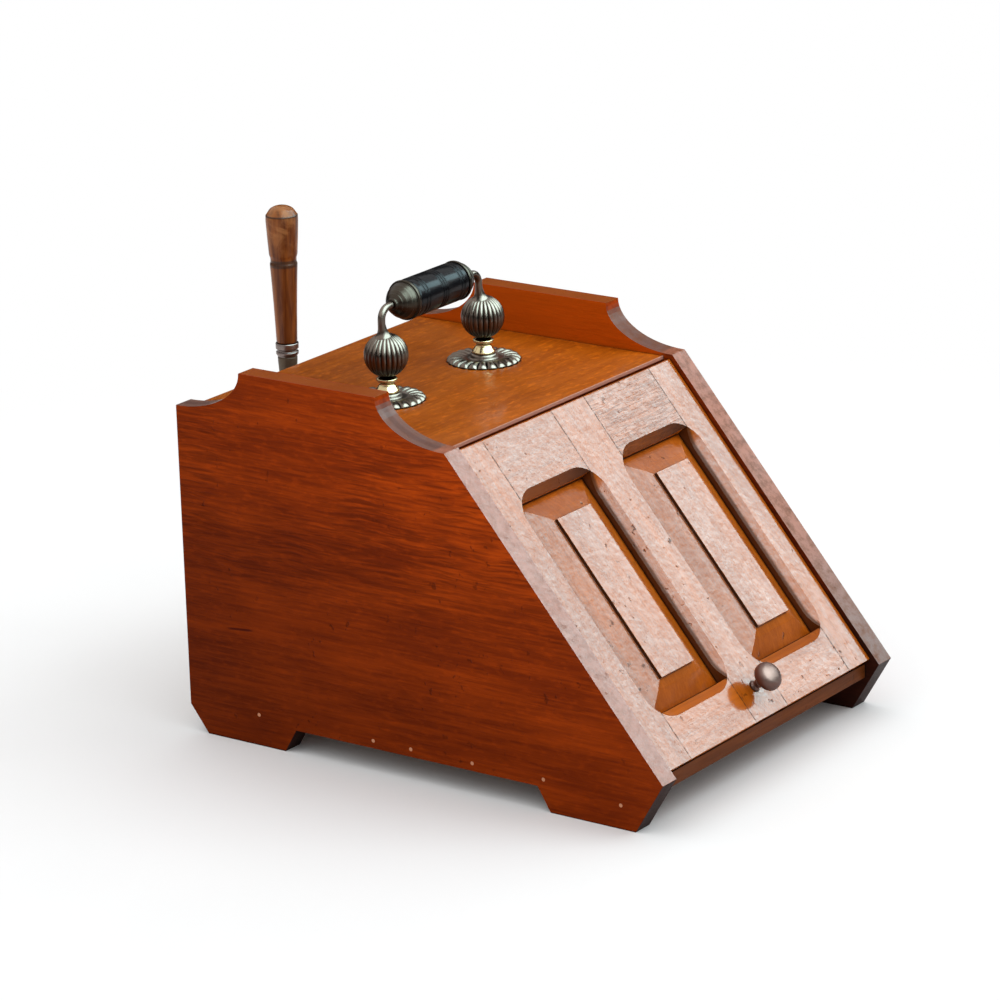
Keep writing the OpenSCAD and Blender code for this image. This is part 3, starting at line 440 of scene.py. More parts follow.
def side_ribs(s, grain):
    """Corrugated grain over the upper half of a side board's outer face."""
    bend = s.noise(1.0, s.mapped(scale=(12, 30, 30), vector=grain), 2)
    shift = s.add("ShaderNodeCombineXYZ", {"Z": s.times(bend, 0.014)}).outputs[0]
    bent = s.add("ShaderNodeVectorMath", {0: grain, 1: shift}, operation="ADD").outputs[0]
    waves = s.noise(1.0, s.mapped(scale=(30, 400, 400), vector=bent), 2, 0.45, 0.6)
    z = s.part(s.place, 2)
    patch = s.span(s.noise(9, detail=2), 0.32, 0.55, 0.3, 1)
    outer = s.span(s.math("ABSOLUTE", s.part(s.normal, 0)), 0.3, 0.7)
    return waves, s.times(s.span(z, 0.09, 0.19, 0.03, 0.66), s.span(z, 0.25, 0.3, 1, 0.35),
                          outer, patch)


def rail_ribs(s, grain):
    """Fine cross ribs that show on the upper right-hand rail of the lid."""
    waves = s.noise(1.0, s.mapped(scale=(60, 620, 620), vector=grain), 2, 0.5, 0.8)
    where = s.times(s.span(s.part(s.place, 0), 0.0, 0.01, 0.05, 0.55),
                    s.span(s.part(s.place, 2), 0.15, 0.2, 0.1, 1))
    return waves, where


def metal(name, light, dark, metallic=1.0, rough=(0.25, 0.45), wear_scale=60, reach=4 * MM,
          underside_shade_level=1.0):
    """Worn metal: dark in its hollows, lighter where it is rubbed, and with painted shade on its
    underside; the last argument is how bright its underside stays."""
    s = Shader(name)
    mottle = s.noise(wear_scale, detail=5, rough=0.65)
    fine = s.noise(900, detail=2)
    hollow = s.add("ShaderNodeAmbientOcclusion", {"Distance": reach}, samples=6).outputs["AO"]
    # Painted shade: the underside is kept darker.
    rubbed_and_lit = s.times(s.span(hollow, 0.4, 0.97), s.span(mottle, 0.25, 0.75, 0.6, 1),
                     s.span(s.part(s.normal, 2), -0.5, 0.5, underside_shade_level, 1))
    colour = s.mix(rubbed_and_lit, dark, light)
    roughness = s.span(s.plus(mottle, s.times(fine, 0.3)), 0.4, 0.9, *rough)
    height = s.plus(s.times(fine, 0.3), mottle)
    return s.surface(Base_Color=colour, Metallic=metallic, Roughness=roughness,
                     Normal=s.bump(height, 0.00008))


def plain_wood(name, light, dark, turn, seed=1, rough=0.6):
    """Unvarnished softwood, with broad soft bands."""
    s = Shader(name)
    grain = grained(s, turn, seed)
    rings = s.bands(1.0, s.mapped(scale=(1.5, 40, 40), vector=grain), 9, 3)
    figure = s.noise(1.0, s.mapped(scale=(6, 90, 90), vector=grain), 4, 0.6, 0.5)
    fine = s.noise(1.0, s.mapped(scale=(30, 700, 700), vector=grain), 3)
    tone = s.plus(s.times(rings, 0.25), s.times(fine, 0.4), s.times(figure, 0.6))
    colour = s.mix(s.span(tone, 0.25, 0.95), dark, light)
    return s.surface(Base_Color=colour, Roughness=rough, Specular_IOR_Level=0.3,
                     Normal=s.bump(tone, 0.0002))


HAFT_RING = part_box("shovel_haft")[1].z - 7.5 * MM   # dark line under the domed end


def haft_wood():
    """Turned hardwood, handled for years: streaks along it and a mottled upper end."""
    s = Shader("haft_wood")
    grain = grained(s, (0, 90, 0), 3)
    streak = s.noise(1.0, s.mapped(scale=(14, 190, 190), vector=grain), 4, 0.6, 0.8)
    mottle = s.noise(75, detail=3, distortion=1.2)
    z = s.part(s.place, 2)
    upper = s.span(z, 0.345, 0.375)
    colour = s.mix(s.span(streak, 0.3, 0.7), (0.085, 0.018, 0.003), (0.26, 0.075, 0.012))
    patch = s.times(s.span(mottle, 0.36, 0.68), upper, 0.6)
    colour = s.mix(patch, colour, (0.42, 0.17, 0.05))
    band = s.times(s.span(z, 0.3405, 0.342), s.span(z, 0.3465, 0.348, 1, 0))
    colour = s.mix(s.times(band, 0.75), colour, (0.035, 0.02, 0.012))
    ring = s.gap(z, HAFT_RING)
    colour = s.mix(s.span(ring, 0.3 * MM, 1.1 * MM, 0.8, 0), colour, (0.03, 0.016, 0.01))
    return s.surface(Base_Color=colour, Roughness=s.span(mottle, 0.3, 0.7, 0.35, 0.5),
                     Specular_IOR_Level=0.1, Coat_Weight=0.3, Coat_Roughness=0.25,
                     Normal=s.bump(s.plus(streak, s.times(mottle, 0.5)),
                                   0.0002))


def black_polish():
    """Ebonised wood with a deep polish and faint brown rubs."""
    s = Shader("ebonised_wood")
    rub = s.span(s.noise(80, s.mapped(scale=(0.4, 1, 1)), 4), 0.5, 0.8)
    colour = s.mix(rub, (0.004, 0.004, 0.005), (0.022, 0.017, 0.016))
    return s.surface(Base_Color=colour, Roughness=s.span(rub, 0, 1, 0.35, 0.5),
                     Specular_IOR_Level=0.04, Coat_Weight=s.span(rub, 0, 1, 0.28, 0.16),
                     Coat_Roughness=0.17, Normal=s.bump(s.noise(140, detail=3), 0.0001))


def zinc_sheet():
    """Dull galvanised sheet, spangled and scratched by coal."""
    s = Shader("zinc")
    spangle = s.add("ShaderNodeTexVoronoi", {"Vector": s.place, "Scale": 90}).outputs["Color"]
    shade = s.span(s.part(spangle, 0), 0, 1, 0.25, 1)
    scratch = s.span(s.noise(1.0, s.mapped(scale=(300, 12, 60)), 3), 0.6, 0.75)
    soot = s.span(s.noise(14, detail=6, rough=0.7), 0.38, 0.75)
    colour = s.mix(shade, (0.33, 0.34, 0.35), (0.41, 0.42, 0.43))
    colour = s.mix(s.times(soot, 0.6), colour, (0.07, 0.066, 0.06))
    return s.surface(Base_Color=colour, Metallic=0.7, Roughness=s.span(shade, 0, 1, 0.4, 0.6),
                     Normal=s.bump(scratch, 0.0001))


def nail_metal():
    """Nails whose heads are covered with a pale pinkish filler."""
    s = Shader("nail_metal")
    side = s.math("ABSOLUTE", s.part(s.place, 0))
    filler = s.span(side, 0.1640, 0.1648)
    colour = s.mix(filler, (0.1, 0.09, 0.08), (0.5, 0.2, 0.09))
    return s.surface(Base_Color=colour, Roughness=0.55,
                     Normal=s.bump(s.noise(700, detail=2), 0.0001))


def make_materials():
    """All finishes, by the name of the record's material slot."""
    return {
        "oak_side": oak("oak_side", (0.50, 0.062, 0.0017), (0.235, 0.025, 0.0009), ALONG_Y, 1,
                        coat=0.9, ribs=side_ribs, streaks=0.5, dents=0.5, rays=0.14,
                        fades=((2, 0.27, 0.13, 0.36), (2, 0.13, 0.03, 0.2), (1, -0.15, 0.25, 0.38)),
                        kind="side"),
        "oak_deck": oak("oak_deck", (0.48, 0.112, 0.004), (0.30, 0.062, 0.002), ALONG_X, 2,
                        coat=0.5, streaks=0.3, dents=0.15, rays=0.42, mottle=0.2,
                        fades=((1, 0.03, 0.15, 0.25), (0, -0.04, -0.14, 0.15)), kind="deck"),
        "oak_rail": oak("oak_rail", (0.16, 0.042, 0.010), (0.07, 0.018, 0.004), ALONG_X, 3,
                        coat=0.0, specular=0.05, streaks=0.6, grime_and_shade_reach=0.8 * MM),
        "oak_lid": oak("oak_lid", LID_LIGHT, LID_DARK, UP_LID_GRAIN, 4, dents=0.9, mottle=0.15,
                       seams=LID_JOINTS),
        "oak_lid_cross": oak("oak_lid_cross", LID_LIGHT, LID_DARK, ACROSS_LID, 5, dents=0.9,
                             mottle=0.15, seams=LID_JOINTS, ribs=rail_ribs,
                             kind="cross rail"),
        "oak_panel": oak("oak_panel", LID_LIGHT, LID_DARK, UP_LID_GRAIN, 6, dents=0.8,
                         mottle=0.15, kind="panel"),
        "oak_back": plain_wood("oak_back", (0.27, 0.115, 0.045), (0.13, 0.05, 0.02), ALONG_X, 7),
        "pine": plain_wood("pine", PINE_LIGHT, PINE_DARK, ALONG_X, 8),
        "iron": metal("iron", (0.16, 0.145, 0.13), (0.045, 0.04, 0.036), 0.85, (0.45, 0.65)),
        "pewter": metal("pewter", (0.21, 0.12, 0.10), (0.06, 0.034, 0.028), 1, (0.36, 0.5),
                        underside_shade_level=0.5),
        "bronze": metal("bronze", (0.235, 0.185, 0.15), (0.015, 0.011, 0.008), 1, (0.26, 0.4),
                        reach=2.5 * MM, underside_shade_level=0.35),
        "bronze_dark": metal("bronze_dark", (0.075, 0.06, 0.046), (0.014, 0.01, 0.007), 1,
                             (0.28, 0.42), reach=2.5 * MM, underside_shade_level=0.5),
        "brass": metal("brass", (0.75, 0.6, 0.33), (0.12, 0.075, 0.03), 1, (0.14, 0.28)),
        "ebonised_wood": black_polish(),
        "shovel_metal": metal("shovel_metal", (0.15, 0.105, 0.07), (0.03, 0.022, 0.015), 0.7,
                              (0.4, 0.6), 35),
        "ferrule_metal": metal("ferrule_metal", (0.3, 0.24, 0.22), (0.05, 0.035, 0.03), 1,
                               (0.25, 0.4)),
        "haft_wood": haft_wood(),
        "zinc": zinc_sheet(),
    }


MATERIALS = make_materials()
FINISH_OF_NODE = {
    "side_nails": nail_metal(),
    "lid_stops": plain_wood("pine_stops", PINE_LIGHT, PINE_DARK, UP_LID_GRAIN, 9),
}


# ---- Mesh helpers ----

def finish_piece(bm, name, nodes, slot, smooth_below=35):
    """Turns a bmesh into a named piece that stands for CAD nodes and rides on their body."""
    bmesh.ops.recalc_face_normals(bm, faces=bm.faces)
    limit = math.radians(smooth_below)
    for edge in bm.edges:
        edge.smooth = edge.calc_face_angle(0) < limit
    for face in bm.faces:
        face.smooth = True
    mesh = bpy.data.meshes.new(name)
    bm.to_mesh(mesh)
    bm.free()
    piece = bpy.data.objects.new(name, mesh)
    bpy.context.scene.collection.objects.link(piece)
    piece.data.materials.append(MATERIALS[slot])
    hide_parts(*nodes)
    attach(piece, frame["nodes"][nodes[0]]["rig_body"])
    return piece


SHORTEST_ARRIS = 0.7 * MM   # shorter edges belong to small holes, which stay crisp


def soften_arrises(bm, width, sharp=6, steps=3):
    """Rounds over the sharp edges of a board."""
    limit = math.radians(sharp)
    edges = [e for e in bm.edges
             if e.calc_face_angle(0) > limit and e.calc_length() > SHORTEST_ARRIS]
    bmesh.ops.bevel(bm, geom=edges, offset=width, offset_type="OFFSET", segments=steps,
                    profile=0.5, affect="EDGES", clamp_overlap=True)


def board(node, slot, width=0.5 * MM):
    """A copy of a CAD board with its arrises rounded over."""
    bm = bmesh.new()
    bm.from_mesh(frame["nodes"][node].data)
    bmesh.ops.remove_doubles(bm, verts=bm.verts, dist=0.002 * MM)
    bmesh.ops.dissolve_limit(bm, angle_limit=math.radians(0.3), verts=bm.verts,
                             edges=bm.edges, delimit={"NORMAL"})
    soften_arrises(bm, width)
    piece = finish_piece(bm, node + "_wood", [node], slot, 30)
    weighted = piece.modifiers.new("flat faces stay flat", "WEIGHTED_NORMAL")
    weighted.keep_sharp = True
    return piece


def soften(points, reach, steps=4):
    """An outline of (radius, height) points with its corners rounded over a length of reach."""
    spots = [Vector(p) for p in points]
    made = [spots[0]]
    for before, corner, after in zip(spots, spots[1:], spots[2:]):
        to_before, to_after = before - corner, after - corner
        cut = min(reach, 0.45 * to_before.length, 0.45 * to_after.length)
        start = corner + to_before.normalized() * cut
        end = corner + to_after.normalized() * cut
        for k in range(steps + 1):
            t = k / steps
            made.append(start * (1 - t) ** 2 + corner * 2 * t * (1 - t) + end * t ** 2)
    return made + [spots[-1]]


def spin(bm, outline, centre, axis="Z", turns=96, shape=None):
    """Adds a turned solid round an axis through centre; outline runs from one end to the other.
    shape(angle, radius, height) may change each point."""
    side, other, along = {
        "Z": (Vector((1, 0, 0)), Vector((0, 1, 0)), Vector((0, 0, 1))),
        "X": (Vector((0, 1, 0)), Vector((0, 0, 1)), Vector((1, 0, 0))),
        "LID": (Vector((1, 0, 0)), UP_LID, OUT_OF_LID),
    }[axis]
    rings = []
    for radius, height in outline:
        ring = []
        for k in range(turns):
            angle = 2 * math.pi * k / turns
            r, h = shape(angle, radius, height) if shape else (radius, height)
            spot = Vector(centre) + along * h
            spot += side * (r * math.cos(angle)) + other * (r * math.sin(angle))
            ring.append(bm.verts.new(spot))
        rings.append(ring)
    for low, high in zip(rings, rings[1:]):
        for k in range(turns):
            bm.faces.new((low[k - 1], low[k], high[k], high[k - 1]))
    bm.faces.new(rings[0])
    bm.faces.new(rings[-1])


def sweep(bm, path, radii, turns=32):
    """Adds a round bar of changing radius along a path in a plane of constant y."""
    rings = []
    across = Vector((0, 1, 0))
    for i, (spot, radius) in enumerate(zip(path, radii)):
        ahead = (path[min(i + 1, len(path) - 1)] - path[max(i - 1, 0)]).normalized()
        out = across.cross(ahead)
        rings.append([bm.verts.new(
            spot + (across * math.cos(a) + out * math.sin(a)) * radius)
            for a in (2 * math.pi * k / turns for k in range(turns))])
    for low, high in zip(rings, rings[1:]):
        for k in range(turns):
            bm.faces.new((low[k - 1], low[k], high[k], high[k - 1]))
    bm.faces.new(rings[0])
    bm.faces.new(rings[-1])


# ---- Case and lid ----

def make_boards():
    for side in ("left", "right"):
        board("side_" + side, "oak_side", 0.8 * MM)
        board("lid_stile_" + side, "oak_lid", 0.35 * MM)
        board("lid_panel_" + side, "oak_panel", 0.3 * MM)
    board("top_board", "oak_deck", 1.0 * MM)
    board("front_rail", "oak_rail", 0.6 * MM)
    board("lid_muntin", "oak_lid", 0.35 * MM)
    board("lid_top_rails", "oak_lid_cross", 0.35 * MM)
    board("lid_bottom_rails", "oak_lid_cross", 0.35 * MM)
    board("back_board", "oak_back", 0.4 * MM)
    board("bottom_board", "oak_back", 0.4 * MM)
    board("liner", "zinc", 0.25 * MM)
    board("shovel_blade", "shovel_metal", 0.4 * MM)
    board("shovel_bracket", "brass", 0.4 * MM)


make_boards()


# ---- Knob ----

LID_THICK = 20 * MM
LID_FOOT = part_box("lid_muntin")[0] + Vector((0, 0, LID_THICK * math.cos(LID_TILT)))
LID_FOOT.x = 0
KNOB_UP = 25 * MM      # from the lid's bottom edge to the knob's centre
KNOB_TALL = 24 * MM
KNOB_SCREW = 2.2 * MM
KNOB_SCREW_LEN = 25 * MM


def make_knob():
    """A flattened head with a darker rim on a beaded stem, and the screw that holds it."""
    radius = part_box("lid_knob")[1].x
    outline = soften([
        (0.0001, -KNOB_SCREW_LEN), (KNOB_SCREW, -KNOB_SCREW_LEN), (KNOB_SCREW, 0),
        (radius * 0.38, 0), (radius * 0.38, KNOB_TALL * 0.05), (radius * 0.25, KNOB_TALL * 0.1),
        (radius * 0.24, KNOB_TALL * 0.18), (radius * 0.345, KNOB_TALL * 0.215),
        (radius * 0.345, KNOB_TALL * 0.28), (radius * 0.24, KNOB_TALL * 0.32),
        (radius * 0.24, KNOB_TALL * 0.38), (radius * 0.66, KNOB_TALL * 0.43),
        (radius * 0.93, KNOB_TALL * 0.52), (radius, KNOB_TALL * 0.66),
        (radius * 0.95, KNOB_TALL * 0.8), (radius * 0.76, KNOB_TALL * 0.91),
        (radius * 0.42, KNOB_TALL * 0.98), (0.0001, KNOB_TALL)], 1.5 * MM)
    bm = bmesh.new()
    spin(bm, outline, LID_FOOT + UP_LID * KNOB_UP, "LID", 72)
    finish_piece(bm, "lid_knob_turned", ["lid_knob"], "pewter", 55)


make_knob()


# ---- Handle ----

BALLS_LOW, BALLS_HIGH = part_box("handle_balls")
POST_Y = (BALLS_LOW.y + BALLS_HIGH.y) / 2
BALL_R = (BALLS_HIGH.y - BALLS_LOW.y) / 2
POST_X = BALLS_HIGH.x - BALL_R
POSTS = (-POST_X, POST_X)
GRIP_LOW, GRIP_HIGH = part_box("grip")
GRIP_Z = (GRIP_LOW.z + GRIP_HIGH.z) / 2
GRIP_R = (GRIP_HIGH.z - GRIP_LOW.z) / 2
GRIP_X = (GRIP_LOW.x + GRIP_HIGH.x) / 2   # the grip stands a little to the left
GADROONS = 24
LOBES = 22


def make_rosettes():
    """Dished plates with a rim of rounded lobes."""
    low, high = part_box("handle_rosettes")
    radius = (high.y - low.y) / 2
    height = high.z - low.z

    def lobed(angle, r, h):
        share = r / radius
        reach = min(1, max(0, (share - 0.5) / 0.2))
        crest = abs(math.cos(angle * LOBES / 2)) ** 0.6
        rim = 1 - 0.05 * (1 - crest) * min(1, max(0, (share - 0.85) / 0.1))
        return r * rim, h * (1 - 0.74 * reach * (1 - crest))

    outline = soften([(0.0001, 0), (radius, 0), (radius, height * 0.2),
                      (radius * 0.94, height * 0.52), (radius * 0.78, height * 0.72),
                      (radius * 0.6, height * 0.62), (radius * 0.47, height * 0.36),
                      (radius * 0.38, height * 0.4), (radius * 0.35, height * 0.98),
                      (0.0001, height)], 1.6 * MM)
    bm = bmesh.new()
    for x in POSTS:
        spin(bm, outline, (x, POST_Y, low.z), turns=LOBES * 12, shape=lobed)
    finish_piece(bm, "handle_rosette_pair", ["handle_rosettes"], "bronze", 50)


def make_necks():
    """Polished spools: a flared foot, a narrow waist and a ring under the ball."""
    low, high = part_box("handle_necks")
    foot = (high.y - low.y) / 2
    tall = high.z - low.z
    outline = soften([
        (0.0001, 0), (foot, 0), (foot, tall * 0.1), (foot * 0.88, tall * 0.24),
        (foot * 0.72, tall * 0.42), (foot * 0.62, tall * 0.5), (foot * 0.62, tall * 0.6),
        (foot * 0.78, tall * 0.68), (foot * 0.9, tall * 0.73), (foot * 0.9, tall * 0.87),
        (foot * 0.74, tall * 0.93), (foot * 0.58, tall), (0.0001, tall)], 0.7 * MM)
    bm = bmesh.new()
    for x in POSTS:
        spin(bm, outline, (x, POST_Y, low.z), turns=64)
    finish_piece(bm, "handle_neck_pair", ["handle_necks"], "brass", 50)


def make_balls():
    """Balls cut with gadroons that run from pole to pole and fade out towards both ends."""
    middle = (BALLS_LOW.z + BALLS_HIGH.z) / 2
    reach = (BALLS_HIGH.z - BALLS_LOW.z) / 2
    depth = 0.075

    def gadrooned(angle, r, h):
        fade = min(1, r / BALL_R / 0.55) ** 2
        crest = abs(math.cos(angle * GADROONS / 2)) ** 0.75
        return r * (1 - depth * fade * (1 - crest)), h

    steps = 40
    heights = [reach * math.sin(math.pi * (k / steps - 0.5)) for k in range(steps + 1)]
    outline = [(0.0001, -reach)]
    outline += [(math.sqrt(max(0, BALL_R ** 2 - h ** 2)), h) for h in heights]
    outline += [(0.0001, reach)]
    bm = bmesh.new()
    for x in POSTS:
        spin(bm, outline, (x, POST_Y, middle), turns=GADROONS * 12, shape=gadrooned)
    finish_piece(bm, "handle_ball_pair", ["handle_balls"], "bronze", 60)


ARM_BEND = 9 * MM
ARM_FOOT = 10 * MM


FLARE = ((0.55, 0.6), (0.56, 2.2), (0.615, 2.28), (0.65, 1.95), (0.7, 1.6), (0.77, 1.34),
         (0.85, 1.16), (0.93, 1.06))   # share of the way to the knee, and thickness there


def arm_path(x, slim, cap_x):
    """An arm's middle line and its radii, from inside the ball to the cap."""
    toward = -1 if x > 0 else 1
    middle = (BALLS_LOW.z + BALLS_HIGH.z) / 2
    ball = Vector((x, POST_Y, middle))
    knee = Vector((x + GRIP_X, POST_Y, middle + 0.9 * BALL_R + ARM_FOOT))
    path = [ball + (knee - ball) * share for share, size in FLARE]
    radii = [slim * size for share, size in FLARE]
    turn_z = GRIP_Z - ARM_BEND
    for share in (0.0, 0.5):
        path.append(Vector((knee.x, POST_Y, knee.z + (turn_z - knee.z) * share)))
    for k in range(13):
        a = math.pi / 2 * k / 12
        path.append(Vector((knee.x + toward * ARM_BEND * (1 - math.cos(a)), POST_Y,
                            turn_z + ARM_BEND * math.sin(a))))
    for share in (0.3, 0.7, 1.0):
        spot = path[-1].copy()
        spot.x += (cap_x - spot.x) * share
        path.append(spot)
    return path, radii + [slim] * (len(path) - len(radii))


def make_arms():
    """Arms that flare on each ball, lean to the left, rise and bend in to meet the caps."""
    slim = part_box("handle_arms")[1].z - GRIP_Z
    caps_low, caps_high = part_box("grip_caps")
    bm = bmesh.new()
    for x in POSTS:
        sweep(bm, *arm_path(x, slim, caps_high.x if x > 0 else caps_low.x))
    finish_piece(bm, "handle_arm_pair", ["handle_arms"], "bronze", 50)


def make_caps():
    """Bell-shaped end caps with fine turned rings and a broad ring at the grip."""
    low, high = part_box("grip_caps")
    ring = (high.z - low.z) / 2
    half = (GRIP_HIGH.x - GRIP_LOW.x) / 2
    length = high.x - GRIP_X - half
    outline = soften([
        (0.0001, 0), (ring * 0.27, 0), (ring * 0.33, length * 0.05), (ring * 0.31, length * 0.1),
        (ring * 0.47, length * 0.17), (ring * 0.52, length * 0.2), (ring * 0.5, length * 0.23),
        (ring * 0.62, length * 0.32), (ring * 0.66, length * 0.36), (ring * 0.64, length * 0.38),
        (ring * 0.8, length * 0.54), (ring * 0.83, length * 0.6), (ring * 0.815, length * 0.62),
        (ring * 0.89, length * 0.76), (ring * 0.89, length * 0.83), (ring * 0.97, length * 0.84),
        (ring, length * 0.89), (ring * 0.98, length * 0.99), (0.0001, length)], 0.5 * MM)
    reach = half + length
    bm = bmesh.new()
    spin(bm, [(r, h - reach) for r, h in outline], (GRIP_X, POST_Y, GRIP_Z), "X", 72)
    spin(bm, [(r, reach - h) for r, h in outline], (GRIP_X, POST_Y, GRIP_Z), "X", 72)
    finish_piece(bm, "grip_cap_pair", ["grip_caps"], "bronze_dark", 50)


def make_grip():
    """A black turned grip with two grooves near each end and three at the middle."""
    half = (GRIP_HIGH.x - GRIP_LOW.x) / 2
    end = 0.935 * GRIP_R
    groove, depth = 1.1 * MM, 0.75 * MM
    marks = [-0.78, -0.66, -0.09, 0, 0.09, 0.66, 0.78]
    outline = [(0.0001, -half), (end, -half), (GRIP_R * 0.985, -half + 1.6 * MM)]
    for mark in marks:
        x = half * mark
        for step, sink in ((-1, 0), (-0.35, 1), (0.35, 1), (1, 0)):
            outline.append((GRIP_R - depth * sink, x + step * groove))
    outline += [(GRIP_R * 0.985, half - 1.6 * MM), (end, half), (0.0001, half)]
    bm = bmesh.new()
    spin(bm, soften(outline, 0.4 * MM), (GRIP_X, POST_Y, GRIP_Z), "X", 80)
    finish_piece(bm, "grip_turned", ["grip"], "ebonised_wood", 60)


make_rosettes()
make_necks()
make_balls()
make_arms()
make_caps()
make_grip()


# ---- Shovel ----

HAFT_LOW, HAFT_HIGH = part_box("shovel_haft")
SHOVEL_Y = (HAFT_LOW.y + HAFT_HIGH.y) / 2


def make_haft():
    """The turned handle: a domed end, a swelling body, a dark groove and a slim lower part."""
    radius = HAFT_HIGH.x
    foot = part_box("shovel_ferrule")[1].z
    tall = HAFT_HIGH.z - foot
    tang = HAFT_LOW.z - foot
    outline = soften([
        (0.0001, tang), (4 * MM, tang), (4 * MM, 0), (radius * 0.64, 0),
        (radius * 0.67, tall * 0.12), (radius * 0.72, tall * 0.28), (radius * 0.8, tall * 0.48),
        (radius * 0.85, tall * 0.58), (radius * 0.8, tall * 0.595), (radius * 0.8, tall * 0.625),
        (radius * 0.87, tall * 0.645), (radius * 0.94, tall * 0.77), (radius, tall * 0.9),
        (radius * 0.985, tall * 0.935), (radius * 0.93, tall * 0.942),
        (radius * 0.72, tall * 0.98), (radius * 0.36, tall), (0.0001, tall)], 2.2 * MM)
    bm = bmesh.new()
    spin(bm, outline, (0, SHOVEL_Y, foot), turns=80)
    finish_piece(bm, "shovel_haft_turned", ["shovel_haft"], "haft_wood", 50)


def make_ferrule():
    low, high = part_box("shovel_ferrule")
    radius = (high.x - low.x) / 2
    tall = high.z - low.z
    outline = soften([
        (0.0001, 0), (radius * 0.88, 0), (radius * 0.88, tall * 0.1), (radius * 0.98, tall * 0.15),
        (radius * 0.98, tall * 0.33), (radius * 0.86, tall * 0.38), (radius * 0.86, tall * 0.5),
        (radius, tall * 0.58), (radius, tall * 0.96), (radius * 0.96, tall), (0.0001, tall)],
        0.4 * MM)
    bm = bmesh.new()
    spin(bm, outline, (0, SHOVEL_Y, low.z), turns=72)
    finish_piece(bm, "shovel_ferrule_turned", ["shovel_ferrule"], "ferrule_metal", 50)


def make_socket():
    low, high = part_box("shovel_socket")
    flange = high.x
    tall = high.z - low.z
    top, bottom = flange * 0.727, flange * 0.564
    outline = soften([
        (0.0001, 0), (flange, 0), (flange, 1.2 * MM), (flange * 0.7, 2.4 * MM),
        (bottom, 6.5 * MM), (bottom * 1.02, tall * 0.4), (top, tall * 0.93), (top, tall),
        (0.0001, tall)], 1.2 * MM)
    bm = bmesh.new()
    spin(bm, outline, (0, SHOVEL_Y, low.z), turns=72)
    finish_piece(bm, "shovel_socket_turned", ["shovel_socket"], "shovel_metal", 50)


make_haft()
make_ferrule()
make_socket()


# ---- Finishes of the CAD pieces that show as they are ----

def finish_cad_nodes():
    slots = {s["node"]: s["material_slot"] for s in frame["record"]["subparts"]}
    for name, node in frame["nodes"].items():
        node.data.materials.clear()
        node.data.materials.append(FINISH_OF_NODE.get(name, MATERIALS[slots[name]]))


finish_cad_nodes()


# ---- Studio ----

def stage_plane(name, size, place, turn, material):
    mesh = bpy.data.meshes.new(name)
    w, h = size[0] / 2, size[1] / 2
    mesh.from_pydata([(-w, -h, 0), (w, -h, 0), (w, h, 0), (-w, h, 0)], [], [(0, 1, 2, 3)])
    plane = bpy.data.objects.new(name, mesh)
    plane.location = place
    plane.rotation_euler = turn
    bpy.context.scene.collection.objects.link(plane)
    plane.data.materials.append(material)
    return plane


def rays_that_show(shader_add, link):
    """1 for rays that show the background: seen, mirrored or looked at through glass."""
    ray = shader_add("ShaderNodeLightPath")
    seen = ray.outputs["Is Camera Ray"]
    for kind in ("Is Glossy Ray", "Is Transmission Ray"):
        either = shader_add("ShaderNodeMath")
        either.operation = "MAXIMUM"
        link(seen, either.inputs[0])
        link(ray.outputs[kind], either.inputs[1])
        seen = either.outputs[0]
    return seen


SHADOW_REACH = (0.55, 1.1)   # where the floor begins to turn plain white, and where it is


def floor_finish():
    """Pale and matt. Away from the object's shadow it is seen as plain white."""
    s = Shader("floor")
    tone = s.span(s.noise(3, detail=2), 0.3, 0.7)
    s.surface(Base_Color=s.mix(tone, (0.86, 0.86, 0.86), (0.88, 0.88, 0.88)),
              Roughness=0.95, Specular_IOR_Level=0.05)
    away = s.add("ShaderNodeVectorMath", {0: s.place}, operation="LENGTH").outputs["Value"]
    share = s.times(s.span(away, *SHADOW_REACH),
                   rays_that_show(s.nodes.new, s.links.new))
    white = s.add("ShaderNodeEmission", {"Color": (1, 1, 1), "Strength": 1.0}).outputs[0]
    blend = s.add("ShaderNodeMixShader", {0: share, 1: s.bsdf.outputs[0], 2: white})
    s.links.new(blend.outputs[0], s.nodes["Material Output"].inputs["Surface"])
    return s.material


def card_finish():
    s = Shader("dark_card")
    return s.surface(Base_Color=(0.02, 0.02, 0.02), Roughness=1.0, Specular_IOR_Level=0.0)


def only_mirrored(obj):
    """Hides a piece of the stage from all but glossy rays."""
    obj.visible_camera = False
    obj.visible_diffuse = False
    obj.visible_transmission = False
    obj.visible_shadow = False


def dark_card(name, direction, distance, size, finish):
    """A black card that gives the varnish and the metal something dark to mirror."""
    way = Vector(direction).normalized()
    card = stage_plane(name, size, AIM + way * distance, (0, 0, 0), finish)
    card.rotation_mode = "QUATERNION"
    card.rotation_quaternion = way.to_track_quat("Z", "Y")
    only_mirrored(card)


def softbox(name, direction, distance, size, radiance):
    """A rectangular lamp that faces the object from a direction. Mirrors don't show it."""
    lamp = bpy.data.lights.new(name, "AREA")
    lamp.color = LAMP_TINT
    lamp.shape = "RECTANGLE"
    lamp.size, lamp.size_y = size
    lamp.energy = radiance * math.pi * size[0] * size[1]
    obj = bpy.data.objects.new(name, lamp)
    way = Vector(direction).normalized()
    obj.location = AIM + way * distance
    obj.rotation_mode = "QUATERNION"
    obj.rotation_quaternion = way.to_track_quat("Z", "Y")
    obj.visible_glossy = False
    bpy.context.scene.collection.objects.link(obj)


AIM = Vector((0, 0, 0.16))
LAMP_TINT = (0.9, 1.0, 1.03)
SKY_LOW = 0.5            # the sky's level as light, at the horizon
SKY_HIGH = 1.4           # and straight above
